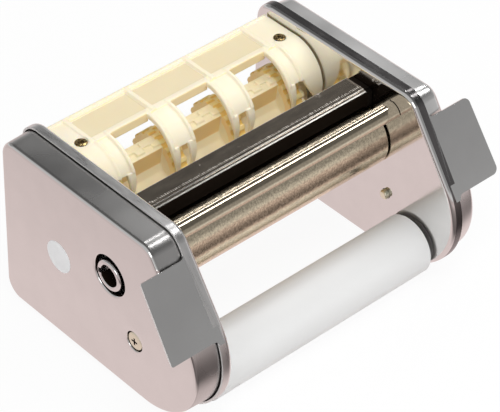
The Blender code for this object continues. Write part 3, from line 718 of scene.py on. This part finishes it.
def side_plate(side, corner_radius):
    """A pressed plate with a flange bent outwards all round, a tab and the comb's lug."""
    edge = INNER + FLANGE
    centre = (INNER + PLATE_BEND, PLATE_BEND)
    rings = bend(centre, PLATE_BEND, 180, 270)
    rings += [outline_ring(edge, 0.0), outline_ring(edge, PLATE_T)]
    rings += bend(centre, PLATE_BEND - PLATE_T, 270, 180)
    plate = loft(rings)
    join(plate, tab(corner_radius))
    lug_top = COMB_AXIS[1] + COMB_R - COMB_SKIN - COMB_T - CLEAR
    join(plate, box(COMB_SCREW_X - LUG_HALF, INNER + 0.8, COMB_SCREW_Y - LUG_FRONT, COMB_SCREW_Y + LUG_BACK,
                    lug_top - LUG_T, lug_top))
    cut(plate, upright([(lug_top - 4, LUG_HOLE_R), (lug_top + 2, LUG_HOLE_R)], COMB_SCREW_X, COMB_SCREW_Y))
    for axis, radius in (
        (STEEL_AXIS, STEEL_SHAFT_R + BUSH_WALL + 2 * CLEAR),
        (UPPER_AXIS, FORM_SHAFT_R + BUSH_WALL + 2 * CLEAR),
        (LOWER_AXIS, FORM_SHAFT_R + BUSH_WALL + 2 * CLEAR),
        (TUBE_AXIS, ROD_R + CLEAR),
        (axis_of("rear_rod"), ROD_R + CLEAR),
        (COVER_SCREW_AXIS, COVER_SCREW_R + CLEAR),
    ):
        cut(plate, rod(radius, axis, INNER - 2, INNER + 5, SMALL_ROUND))
    # Cut edges of the flange and the tab: light matt steel, partly the bare edge, partly a painted highlight
    refinish_or_shade(plate, lambda c, n: n.x > 0.9 and c.x > edge - 0.05)
    # The flange's own brushed steel; on the right a darker copy as painted shade
    refinish_or_shade(plate, lambda c, n: abs(n.x) < 0.3 and INNER + PLATE_BEND - 0.5 < c.x < edge + 0.1, 2)
    return sided(plate, side)


def side_cover(side):
    """A tray over the side plate with a dished screw seat, and on the left the socket's hole."""
    face, rounding, draft = LEFT_COVER if side < 0 else RIGHT_COVER
    start = INNER + FLANGE - COVER_LAP
    centre = (face - rounding, COVER_INSET + draft + rounding)
    rings = bend(centre, rounding - COVER_T, 0, -90)
    rings += [outline_ring(start, COVER_INSET + COVER_T), outline_ring(start, COVER_INSET)]
    rings += bend(centre, rounding, -90, 0)
    cover = loft(rings)
    join(cover, rod(COVER_BOSS_R, COVER_SCREW_AXIS, face - 4.6, face - 0.6))
    radius = SCREW_SEAT_R
    dimple = [(face - SCREW_SEAT, radius), (face - 1.0, radius + 0.1), (face - 0.5, radius + 0.4)]
    dimple += [(face - 0.35, radius + 1.0), (face - 0.2, radius + 2.8), (face + 0.05, radius + 5.3)]
    dimple.append((face + 2, radius + 7.8))
    cut(cover, turned(dimple, COVER_SCREW_AXIS))
    cut(cover, rod(COVER_SCREW_R + CLEAR, COVER_SCREW_AXIS, face - 8, face + 2))
    # The screw's seat hole and the socket's hole are painted near-black as painted shade
    painted_shade_holes = [(COVER_SCREW_AXIS, radius + 0.08)]
    if side < 0:
        radius = SOCKET_HOLE_R
        join(cover, rod(radius + 1.6, STEEL_AXIS, face - 3.6, face - 0.5))
        hole = [(face - 8, radius), (face - 1.6, radius), (face - 0.8, radius + 0.2)]
        hole += [(face - 0.25, radius + 0.7), (face + 0.02, radius + 1.6), (face + 2, radius + 3.6)]
        cut(cover, turned(hole, STEEL_AXIS))
        painted_shade_holes.append((STEEL_AXIS, radius + 0.1))
    # The walls take their side's satin copy: painted shade on the left, painted light on the right
    refinish_or_shade(cover, lambda c, n: abs(n.x) < 0.5 and c.x < face - rounding / 2, 2)
    for axis, radius in painted_shade_holes:
        refinish_or_shade(cover, lambda c, n: (c.yz - Vector(axis)).length < radius)
    return sided(cover, side)


# Fixings
def cross_cutter(axis, x0, x1):
    """A Phillips recess that narrows as it goes in."""
    shape = None
    for reach_y, reach_z in ((3.0, 0.62), (0.62, 3.0)):
        rings = []
        for x, part in ((x0, 0.45), (x1, 1.0)):
            y, z = max(0.5, reach_y * part), max(0.5, reach_z * part)
            rings.append([(x, axis[0] - y, axis[1] - z), (x, axis[0] + y, axis[1] - z),
                          (x, axis[0] + y, axis[1] + z), (x, axis[0] - y, axis[1] + z)])
        arm = loft(rings)
        shape = join(shape, arm) if shape else arm
    return shape


def cover_screw(side):
    """A pan-head screw that holds the cover to the plate."""
    face = (LEFT_COVER if side < 0 else RIGHT_COVER)[0]
    seat = face - SCREW_SEAT + CLEAR
    tip = span("cover_screw_right")[0].x
    profile = [(tip, COVER_SCREW_R - 1.0), (tip + 0.6, COVER_SCREW_R - 0.1)]
    x = tip + 0.6
    while x < tip + THREAD_LENGTH:
        profile += [(x + 0.35, COVER_SCREW_R), (x + 0.75, COVER_SCREW_R - 0.4)]
        x += THREAD_PITCH
    profile += [(x + 0.4, COVER_SCREW_R), (seat, COVER_SCREW_R), (seat, SCREW_HEAD_R - 0.15)]
    profile += [(seat + 1.0, SCREW_HEAD_R - 0.1), (seat + 1.35, SCREW_HEAD_R - 0.4)]
    profile += [(seat + 1.6, SCREW_HEAD_R - 1.1), (seat + 1.75, SCREW_HEAD_R - 2.7)]
    screw = turned(profile, COVER_SCREW_AXIS, SMALL_ROUND)
    cut(screw, cross_cutter(COVER_SCREW_AXIS, seat + 0.4, seat + 2.6))
    middle = Vector(COVER_SCREW_AXIS)

    # The cross recess is painted near-black as painted shade
    def recessed(c, n):
        inside = c.x > seat + 0.3 and (c.yz - middle).length < 2.9
        return inside and (n.x < 0.7 or c.x < seat + 0.5)

    return sided(refinish_or_shade(screw, recessed), side)


def comb_screw(side):
    """A small countersunk screw with a cross in its head."""
    top = COMB_AXIS[1] + COMB_R - COMB_SKIN + 0.2
    profile = [(top - 9.5, 1.2), (top - 8.9, 1.6), (top - 2.4, 1.6), (top - 0.7, 3.5), (top - 0.35, 3.6)]
    profile += [(top - 0.05, 3.1), (top + 0.12, 1.8)]
    screw = upright(profile, COMB_SCREW_X, COMB_SCREW_Y)
    for turn in (0.35, 0.35 + math.pi / 2):
        rings = []
        for z, reach, half in ((top - 1.5, 1.1, 0.3), (top + 0.6, 2.3, 0.42)):
            ring = []
            for u, v in ((-reach, -half), (reach, -half), (reach, half), (-reach, half)):
                ring.append((COMB_SCREW_X + u * math.cos(turn) - v * math.sin(turn),
                             COMB_SCREW_Y + u * math.sin(turn) + v * math.cos(turn), z))
            rings.append(ring)
        cut(screw, loft(rings))
    return sided(screw, side)


# Forming rollers
def pocket_section(axis, angle):
    """Section of the roller between its discs: ribs with flat pocket floors between them."""
    points = []
    gap = math.radians(360 / RIBS / 2)
    half = RIB_HALF
    foot = (FLOOR - half * math.sin(gap)) / math.cos(gap)
    for k in range(RIBS):
        a = math.radians(angle + 360 * k / RIBS)
        out = Vector((math.cos(a), math.sin(a)))
        across = Vector((-math.sin(a), math.cos(a)))
        for reach, offset in ((foot, -half), (RIB_TOP, -half), (RIB_TOP, half), (foot, half)):
            p = out * reach + across * offset
            points.append((axis[0] + p.x, axis[1] + p.y))
    return points


def zigzag(axis, angle, x0, x1):
    """The crimping crest that runs in square steps along a rib."""
    a = math.radians(angle)
    out = Vector((math.cos(a), math.sin(a)))
    across = Vector((-math.sin(a), math.cos(a)))
    steps = round((x1 - x0) / ZIGZAG_STEP)
    width = (x1 - x0) / steps
    left = []
    right = []
    for i in range(steps):
        swing = ZIGZAG_SWING if i % 2 else -ZIGZAG_SWING
        for x in (x0 + i * width, x0 + (i + 1) * width):
            left.append((x, swing - ZIGZAG_HALF))
            right.append((x, swing + ZIGZAG_HALF))
    rings = []
    for reach in (RIB_TOP - 0.8, ZIGZAG_TOP):
        ring = []
        for x, offset in left + right[::-1]:
            p = out * reach + across * offset
            ring.append((x, axis[0] + p.x, axis[1] + p.y))
        rings.append(ring)
    return loft(rings)


def disc_row(axis, angle, x0, x1):
    """One row of crimping teeth round a disc."""
    points = []
    step = 360 / DISC_TEETH
    root = FORM_R - DISC_NOTCH
    for k in range(DISC_TEETH):
        for radius, first, last in ((FORM_R, 0.02, 0.50), (root, 0.54, 0.98)):
            for part in (0.0, 0.5, 1.0):
                a = math.radians(angle + step * (k + first + (last - first) * part))
                points.append((axis[0] + radius * math.cos(a), axis[1] + radius * math.sin(a)))
    return prism(points, x0, x1)


def near_disc(x):
    """Whether x lies within a disc, the rims of the end discs aside."""
    return min(abs(x - middle) for middle in DISC_MIDDLES) < DISC_HALF + 0.1


def forming_roller(axis, angle, grid):
    """A moulded roller with its first rib at the given angle, softened on the given grid."""
    roller = prism(pocket_section(axis, angle), DISC_MIDDLES[0], DISC_MIDDLES[-1])
    join(roller, rod(COLLAR_R, axis, -ROLLER_END, DISC_MIDDLES[0] + 1))
    join(roller, rod(COLLAR_R, axis, DISC_MIDDLES[-1] - 1, ROLLER_END))
    rib_angles = [angle + 360 * rib / RIBS for rib in range(RIBS)]
    for one, two in zip(DISC_MIDDLES, DISC_MIDDLES[1:]):
        for rib_angle in rib_angles:
            join(roller, zigzag(axis, rib_angle, one + DISC_HALF - 1.0, two - DISC_HALF + 1.0))
    for middle in DISC_MIDDLES:
        low = middle - DISC_HALF - (DISC_RIM if middle == DISC_MIDDLES[0] else 0)
        high = middle + DISC_HALF + (DISC_RIM if middle == DISC_MIDDLES[-1] else 0)
        join(roller, disc_row(axis, angle + DISC_PHASE, low, middle + 0.1))
        join(roller, disc_row(axis, angle + DISC_PHASE + 180 / DISC_TEETH, middle - 0.1, high))
    cut(roller, rod(FORM_SHAFT_R + CLEAR, axis, -ROLLER_END - 5, ROLLER_END + 5))
    soften(roller, grid)
    centre = Vector(axis)
    across = [Vector((-math.sin(a), math.cos(a))) for a in map(math.radians, rib_angles)]

    def tooth(c, n):
        return abs(n.x) < 0.9 and near_disc(c.x) and (c.yz - centre).length > RIB_TOP

    def crest(c, n):
        return near_disc(c.x) and (c.yz - centre).length > FORM_R - DISC_CREST

    def disc_side(c, n):
        return abs(n.x) > 0.8 and near_disc(c.x) and (c.yz - centre).length > DISC_SHADE_R

    def flank(c, n):
        if near_disc(c.x):
            return False
        return any(n.yz.dot(a) > 0.9 and abs((c.yz - centre).dot(a) - RIB_HALF) < 0.5 for a in across)

    # Painted light and shade on the one cream: gold teeth, tan flanks and disc sides as painted shade,
    # lighter amber crests as painted light
    for test, slot in ((tooth, 1), (crest, 2), (disc_side, 3), (flank, 3)):
        refinish_or_shade(roller, test, slot)
    return roller


# Comb: made flat in (x, s, depth), then bent round the top of the forming roller
FLAT = COMB_BACK_Y - COMB_AXIS[0]
BAND_S = FLAT - 3.0
FORK_S = FLAT + math.radians(COMB_FORK_ANGLE) * COMB_R
TIP_S = FLAT + math.radians(COMB_TIP_ANGLE) * COMB_R


def bend_point(x, s, depth):
    """Where a point of the flat comb comes to lie."""
    top = COMB_AXIS[1] + COMB_R
    if s <= FLAT:
        return x, COMB_BACK_Y - s, top - depth
    a = (s - FLAT) / COMB_R
    radius = COMB_R - depth
    return x, COMB_AXIS[0] - radius * math.sin(a), COMB_AXIS[1] + radius * math.cos(a)


def strip(x0, x1, s0, s1, depth0, depth1, grow=0.0):
    """A block of the flat comb, from depth0 to depth1, wider all round by grow at depth0."""
    rings = []
    for depth, g in ((depth0, grow), (depth1, 0.0)):
        corners = ((x0 - g, s0 - g), (x1 + g, s0 - g), (x1 + g, s1 + g), (x0 - g, s1 + g))
        rings.append([(x, s, -depth) for x, s in corners])
    return loft(rings)


def band_profile(low, high):
    """Cross-section of a band as (x, depth): a shallow channel between two rounded beads."""
    rise = [(0.0, 0.9), (0.35, 0.3), (1.1, 0.0), (1.9, 0.1), (2.3, 0.6), (2.6, 1.5), (3.2, 1.55), (4.4, 1.3)]
    inner = COMB_SKIN + COMB_T
    outer = [(low + x, d) for x, d in rise] + [(high - x, d) for x, d in reversed(rise)]
    return [(low + 0.4, inner), (low, inner - 0.4)] + outer + [(high, inner - 0.4), (high - 0.4, inner)]


def band(low, high):
    """The front part of a band, from the comb's flat top down to its fork."""
    rings = []
    for i in range(BAND_STEPS + 1):
        s = BAND_S + (FORK_S - BAND_S) * i / BAND_STEPS
        rings.append([(x, s, -d) for x, d in band_profile(low, high)])
    return loft(rings)


def prong(x0, x1, tip0, tip1):
    """A fork's prong, which narrows to its tip and thins a little."""
    rings = []
    inner = COMB_SKIN + COMB_T
    for i in range(PRONG_STEPS + 1):
        t = i / PRONG_STEPS
        s = FORK_S - 0.6 + (TIP_S - FORK_S + 0.6) * t
        a = x0 + (tip0 - x0) * t**1.5
        b = x1 + (tip1 - x1) * t**1.5
        r = min(0.45, (b - a) / 3)
        d0 = 0.55 + 0.3 * t
        d1 = inner - 0.8 * t
        ring = [(a + r, d1), (a, d1 - r), (a, d0 + r), (a + r, d0), (b - r, d0), (b, d0 + r), (b, d1 - r)]
        ring.append((b - r, d1))
        rings.append([(x, s, -d) for x, d in ring])
    return loft(rings)


def comb_bands(body):
    """Adds the four bands and the two prongs of each one's fork."""
    for middle in DISC_MIDDLES:
        low, high = middle - COMB_BAND_HALF, middle + COMB_BAND_HALF
        if middle in (DISC_MIDDLES[0], DISC_MIDDLES[-1]):
            # The end bands run on to the comb's ends, behind a bead of their own
            out = -1 if middle < 0 else 1
            edge, bead = out * COMB_END, out * (abs(middle) + COMB_END_STEP)
            x0, x1 = sorted((edge, bead))
            join(body, strip(x0, x1, BAND_S, FORK_S, COMB_SKIN - 0.1, COMB_SKIN + COMB_T))
            inside = middle - out * COMB_BAND_HALF
            join(body, band(*sorted((inside, bead + out * COMB_END_BEAD))))
            low, high = sorted((edge, inside))
        else:
            join(body, band(low, high))
        for way, outer in ((-1, low), (1, high)):
            inner = middle + way * COMB_FORK_HALF
            tips = (inner + way * COMB_TIP_NEAR, inner + way * COMB_TIP_FAR)
            if abs(outer) == COMB_END:
                tips = (outer, outer - way * COMB_TIP_END)
            join(body, prong(*sorted((inner, outer)), *sorted(tips)))


def comb():
    """The stripper comb: a flat top with sunk panels, and bands that end in forks."""
    face = COMB_SKIN
    body = strip(-COMB_END, COMB_END, 0, FLAT, face, face + COMB_T)
    # Back bead, and over each window a bead with a deeper front wall
    join(body, strip(-COMB_END, COMB_END, 0, COMB_BACK_BEAD, 0.15, face + 1.0))
    for one, two in zip(DISC_MIDDLES, DISC_MIDDLES[1:]):
        low, high = one + COMB_BAND_HALF - 1.0, two - COMB_BAND_HALF + 1.0
        join(body, strip(low, high, FLAT - COMB_FRONT_BEAD, FLAT, 0.0, COMB_WALL))
    comb_bands(body)
    ridges = [middle - RIDGE_SHIFT for middle in DISC_MIDDLES]
    for x in ridges:
        join(body, strip(x - RIDGE_HALF, x + RIDGE_HALF, 1.0, FLAT - 1.0, -0.1, face + 0.8, 0.5))
    for one, two in zip(ridges, ridges[1:]):
        low, high = one + PANEL_MARGIN, two - PANEL_MARGIN
        cut(body, strip(low, high, PANEL_BACK, FLAT - PANEL_FRONT, -2.0, COMB_FLOOR, 0.9))
    countersink = [(2.0, 4.3), (-0.55, 4.1), (-0.9, 3.9), (-2.9, 2.1), (-6.0, 2.1)]
    for side in (-1, 1):
        cut(body, upright(countersink, side * COMB_SCREW_X, COMB_BACK_Y - COMB_SCREW_Y, 32))
    soften(body, COMB_GRID)
    # Painted shade: a darker cream on the sunk panels' floors
    refinish_or_shade(body, lambda c, n: n.z > 0.8 and c.y < FLAT - 4 and abs(c.z + COMB_FLOOR) < 0.25)
    # Painted shade: a warmer cream on the front-facing walls
    refinish_or_shade(body, lambda c, n: n.y > 0.7 and c.y < FLAT + 1, 2)
    bm = bmesh.new()
    bm.from_mesh(body.data)
    for v in bm.verts:
        v.co = bend_point(v.co.x, v.co.y, -v.co.z)
    bmesh.ops.reverse_faces(bm, faces=bm.faces)
    bm.to_mesh(body.data)
    bm.free()
    return body


# Guard and lip
def exit_guard():
    """A folded guard with a chamfered, stepped front edge; its right end is a lower tongue."""
    front, back, top = GUARD_FRONT, GUARD_BACK, GUARD_TOP
    stop = INNER - GUARD_STOP
    shape = [(front, top - GUARD_FRONT_DROP), (front, top - 1.3), (front + 0.1, top - 1.1)]
    shape += [(front + 0.9, top - 0.7), (front + 1.9, top - 0.65), (front + 2.3, top - 0.3)]
    shape += [(front + 2.7, top - 0.05), (front + 2.9, top)]
    shape += [(back - GUARD_T, top), (back - 0.8, top - 0.1), (back - 0.35, top - 0.35)]
    shape += [(back - 0.1, top - 0.8), (back, top - GUARD_T)]
    shape += [(back, top - GUARD_BACK_DROP), (back - GUARD_T, top - GUARD_BACK_DROP)]
    shape += [(back - GUARD_T, top - GUARD_T - 0.3), (front + GUARD_T, top - GUARD_T - 0.3)]
    shape += [(front + GUARD_T, top - GUARD_FRONT_DROP)]
    guard = prism(shape, -INNER + CLEAR, stop)
    tongue = [(y, z - TONGUE_DROP) for y, z in shape]
    join(guard, prism(tongue, stop - 1, INNER - CLEAR))
    # Painted shade: the front wall, the underside and the lower tongue are near-black
    refinish_or_shade(guard, lambda c, n: n.y < -0.8 or c.z < top - 1.5 or c.x > stop + 0.1)
    # Light steel on the two front chamfers and, below, on the back rounding: partly bare edges, partly a
    # painted highlight
    for near, far in ((0.1, 0.9), (2.3, 2.7)):
        refinish_or_shade(guard, lambda c, n: c.x < stop and near < c.y - front < far and n.z > 0.3, 2)
    return refinish_or_shade(guard, lambda c, n: n.y > 0.3 and c.z > top - 1.0 and c.x < stop, 2)


def front_lip():
    """The rolled edge in front of the steel roller, with painted shade on the side away from the light."""
    y, z = LIP_CENTRE
    front = y + LIP_T
    shape = [(front + 0.1, z - 2.9), (front + 0.1, z + LIP_R - 0.5), (front - 0.2, z + LIP_R - 0.15)]
    shape += [(y + 0.7, z + LIP_R - 0.1), (y + 0.2, z + LIP_R - 0.45), (y - 0.5, z + LIP_R - 0.4)]
    shape += arc_between(LIP_CENTRE, LIP_R, 98, 166, 20)
    shape += arc_between(LIP_CENTRE, LIP_R - LIP_T, 166, 90)
    shape += [(y + 0.1, z - 2.9)]
    lip = prism(shape, -INNER + CLEAR, INNER - CLEAR)
    centre = Vector(LIP_CENTRE)
    # The back and the inner face are near-black, painted shade
    return refinish_or_shade(lip, lambda c, n: n.y > 0.8 or (c.yz - centre).length < LIP_R - 0.9)


# Socket, tube, steel roller and sticker
def crank_socket():
    """The sleeve that the crank plugs into, with a keyway at the back of its bore."""
    x = SOCKET_END
    seat = x - SOCKET_SEAT
    hub = seat - SOCKET_HUB
    profile = [(-x + 0.1, SOCKET_BORE_R + 0.9), (-x, SOCKET_BORE_R + 1.2), (-x, SOCKET_R - 1.3)]
    profile += [(-x + 0.25, SOCKET_R - 0.6), (-x + 0.8, SOCKET_R - 0.15), (-x + 1.5, SOCKET_R)]
    profile += [(-hub, SOCKET_R), (-hub, STEEL_SHAFT_R + CLEAR), (-seat, STEEL_SHAFT_R + CLEAR)]
    profile += [(-seat, SOCKET_BORE_R), (-x + 0.9, SOCKET_BORE_R), (-x + 0.4, SOCKET_BORE_R + 0.4)]
    sleeve = turned(profile, STEEL_AXIS, bored=True)
    y, z = STEEL_AXIS
    wall = y + SOCKET_BORE_R
    cut(sleeve, box(-x - 1, -seat - 1.5, wall - 2.5, wall + KEY_HEIGHT, z - KEY_HALF, z + KEY_HALF))
    centre = Vector(STEEL_AXIS)
    # The bore is painted near-black as painted shade
    return refinish_or_shade(sleeve, lambda c, n: (c.yz - centre).length < SOCKET_BORE_R + 0.25)


def both_ends(profile):
    """Adds to the left half of a profile its mirror at the right."""
    return profile + [(-x, radius) for x, radius in reversed(profile)]


def tube():
    """The white guide tube, its ends rounded."""
    end = -TUBE_END
    profile = [(end, TUBE_R - TUBE_WALL), (end, TUBE_R - 0.9)]
    profile += [(end + 0.15, TUBE_R - 0.4), (end + 0.5, TUBE_R)]
    return turned(both_ends(profile), TUBE_AXIS, LARGE_ROUND, bored=True)


def steel_roller():
    """The roller, its rim turned longer than its hub so that it ends closer to the plates."""
    end = -max(ROLLER_END, INNER - 1.0)
    profile = [(-ROLLER_END, STEEL_SHAFT_R + CLEAR), (-ROLLER_END, STEEL_R - 4.5), (end, STEEL_R - 4.0)]
    profile += [(end, STEEL_R - 0.4), (end + 0.1, STEEL_R - 0.1), (end + 0.4, STEEL_R)]
    return turned(both_ends(profile), STEEL_AXIS, LARGE_ROUND, bored=True)


def sticker():
    """The plain round sticker on the left cover."""
    x, radius = -LEFT_FACE, STICKER_R
    return turned([(x - 0.16, radius - 0.12), (x - 0.10, radius), (x + 0.05, radius)], STICKER_PLACE)


# The pieces, each with its finishes and the body that it rides on
def pieces():
    # The right flange and the two walls are copies of one metal, as painted shade and painted light
    sides = [
        (-1, "left", LEFT_TAB_CORNER, FLANGE_LEFT, WALL_LEFT_SHADED),
        (1, "right", RIGHT_TAB_CORNER, FLANGE_RIGHT_SHADED, WALL_RIGHT_LIT),
    ]
    for side, word, corner, flange, wall in sides:
        dress(side_plate(side, corner), f"side_plate_{word}_look", "frame", (CHROME, CUT_EDGE_HIGHLIGHT, flange), 0.3)
        dress(side_cover(side), f"side_cover_{word}_look", "frame", (CHROME, PAINTED_SHADE, wall))
        dress(cover_screw(side), f"cover_screw_{word}_look", "frame", (HEAD, PAINTED_SHADE), 0.08)
        dress(comb_screw(side), f"comb_screw_{word}_look", "frame", (BRONZE,), 0.06)
    dress(comb(), "comb_look", "frame", (COMB_CREAM, PANEL_SHADE_CREAM, WALL_SHADE_CREAM))
    dress(exit_guard(), "exit_guard_look", "frame", (GUARD, PAINTED_SHADE, EDGE_HIGHLIGHT))
    dress(front_lip(), "front_lip_look", "frame", (LIP, PAINTED_SHADE), 0.15)
    dress(tube(), "guide_tube_look", "guide_tube_set", (WHITE,))
    dress(steel_roller(), "steel_roller_look", "steel_roller_set", (GROUND,))
    dress(crank_socket(), "crank_socket_look", "steel_roller_set", (SLEEVE, PAINTED_SHADE), 0.1)
    # The lower ribs mirror the upper ones across the line midway between the axes
    along = math.degrees(math.atan2(LOWER_AXIS[1] - UPPER_AXIS[1], LOWER_AXIS[0] - UPPER_AXIS[0]))
    lower_angle = (2 * along + 180 - UPPER_RIB_ANGLE) % (360 / RIBS)
    # Cream, with painted shade on the teeth, flanks and disc sides and painted light on the crests
    roller_creams_and_shades = (ROLLER_CREAM, TOOTH_SHADE_CREAM, CREST_LIGHT_CREAM, FLANK_SHADE_CREAM)
    upper = forming_roller(UPPER_AXIS, UPPER_RIB_ANGLE, UPPER_GRID)
    dress(upper, "forming_roller_upper_look", "upper_forming_set", roller_creams_and_shades)
    lower = forming_roller(LOWER_AXIS, lower_angle, LOWER_GRID)
    dress(lower, "forming_roller_lower_look", "lower_forming_set", roller_creams_and_shades)
    dress(sticker(), "sticker", "frame", (PAPER,), stands_in=False)


def node_finishes():
    """Gives the CAD nodes that stay in view their finishes, by a word in their names."""
    kinds = {"bush": NYLON, "gear": NYLON, "plug": WHITE, "nut": ZINC, "shaft": STEEL, "rod": STEEL}
    for name, made in nodes.items():
        if made.hide_render:
            continue
        for word, finish in kinds.items():
            if word in name:
                made.data.materials.clear()
                made.data.materials.append(finish)


# Studio, in metres
CAMERA_PLACE = (-0.7149, -0.80745, 0.9569)
CAMERA_LOOKS_DOWN = 39.82  # degrees
CAMERA_TURN = -41.74
LENS = 180.0  # five times the sensor's width, so 2500 pixels on the photo's 500
SENSOR = 36.0
LAMP_AIM = Vector((0, 0, 0.06))
FLOOR_REACH = 6.0
FLOOR_SHARE = 0.93  # what the camera sees of the floor's glow; the rest takes the shadows


def camera():
    """Stands where the photo was taken from."""
    data = bpy.data.cameras.new("camera")
    data.lens = LENS
    data.sensor_width = SENSOR
    data.clip_end = 20.0
    made = bpy.data.objects.new("camera", data)
    made.location = CAMERA_PLACE
    made.rotation_euler = (math.radians(90 - CAMERA_LOOKS_DOWN), 0.0, math.radians(CAMERA_TURN))
    bpy.context.scene.collection.objects.link(made)
    bpy.context.scene.camera = made


def lamp(name, direction, distance, size, power, glossy=True):
    """A panel that faces the object; its first size runs along the rollers."""
    data = bpy.data.lights.new(name, "AREA")
    data.shape = "RECTANGLE"
    data.size, data.size_y = size
    data.energy = power
    made = bpy.data.objects.new(name, data)
    aim = Vector(direction).normalized()
    along = (Vector((1, 0, 0)) - aim * aim.x).normalized()
    made.location = LAMP_AIM + aim * distance
    made.rotation_euler = Matrix((along, aim.cross(along), aim)).transposed().to_euler()
    made.visible_glossy = glossy
    bpy.context.scene.collection.objects.link(made)


def stage():
    """A floor that is white to the camera, matt to the pieces and a rosy bench in mirrors."""
    mesh = bpy.data.meshes.new("floor")
    corners = [(x * FLOOR_REACH, y * FLOOR_REACH, 0) for x, y in ((-1, -1), (1, -1), (1, 1), (-1, 1))]
    mesh.from_pydata(corners, [], [(0, 1, 2, 3)])
    floor = bpy.data.objects.new("floor", mesh)
    bpy.context.scene.collection.objects.link(floor)
    paint = NodeTree(bpy.data.materials.new("floor"))
    paint.clear()
    place = paint.node("ShaderNodeTexCoord").outputs["Object"]
    # The bench is bright under and behind the object, dim close before it, dimmer to its left
    y = paint.part(place, "Y")
    behind = paint.ramp(y, -0.125, -0.095, 0.20, 1.0)
    before = paint.ramp(y, -0.50, -0.14, 0.75, 0.20)
    aside = paint.ramp(paint.part(place, "X"), -0.23, -0.13, 0.83, 1.03)
    level = paint.math("MULTIPLY", paint.math("MAXIMUM", behind, before), aside)
    rosy = paint.node("ShaderNodeEmission")
    rosy.inputs["Color"].default_value = (0.78, 0.66, 0.645, 1)
    paint.link(level, rosy.inputs["Strength"])
    matt = paint.node("ShaderNodeBsdfDiffuse")
    matt.inputs["Color"].default_value = (0.9, 0.9, 0.9, 1)
    glow = paint.node("ShaderNodeEmission")
    shaders = [shader.outputs[0] for shader in (matt, rosy, glow)]
    paint.by_ray(*shaders, FLOOR_SHARE, "ShaderNodeOutputMaterial")
    mesh.materials.append(paint.owner)


def world():
    """White to the camera, even light on the matt pieces, a tented studio in the metal."""
    sky = NodeTree(bpy.data.worlds.new("world"))
    sky.clear()
    bpy.context.scene.world = sky.owner
    bpy.context.scene.view_settings.view_transform = "Standard"
    place = sky.node("ShaderNodeTexCoord").outputs["Generated"]
    # In the metal: bright near the horizon, dim overhead, a light wall at the left
    stops = ((0.0, 0.66), (0.10, 0.66), (0.24, 0.31), (0.50, 0.29), (0.62, 0.12), (1.0, 0.12))
    by_height = sky.node("ShaderNodeValToRGB")
    sky.link(sky.part(place, "Z"), by_height.inputs[0])
    elements = by_height.color_ramp.elements
    elements[0].position = stops[0][0]
    elements[1].position = stops[-1][0]
    for position, level in stops[1:-1]:
        elements.new(position)
    for element, (position, level) in zip(elements, stops):
        element.color = (level, level, level, 1)
    wall = sky.ramp(sky.part(place, "X"), -0.35, -0.62, 0.0, 0.55)
    studio = sky.node("ShaderNodeBackground")
    sky.link(sky.math("MAXIMUM", by_height.outputs[0], wall), studio.inputs["Color"])
    even = sky.node("ShaderNodeBackground")
    even.inputs["Strength"].default_value = 0.52
    white = sky.node("ShaderNodeBackground")
    shaders = [shader.outputs[0] for shader in (even, studio, white)]
    sky.by_ray(*shaders, 1.0, "ShaderNodeOutputWorld")


camera()
stage()
world()
lamp("strip_front", (0.51, -0.12, 0.85), 1.2, (0.8, 0.12), 2.5)
lamp("strip_back", (0.51, 0.35, 0.79), 1.2, (0.8, 0.06), 1.6)
lamp("key", (-0.20, -0.38, 0.90), 1.2, (0.5, 0.4), 6.2, False)
lamp("fill", (0.25, -0.90, 0.35), 1.3, (0.6, 0.5), 2.4, False)
lamp("side", (-0.83, -0.45, 0.45), 1.4, (0.5, 0.5), 2.0)
pieces()
node_finishes()
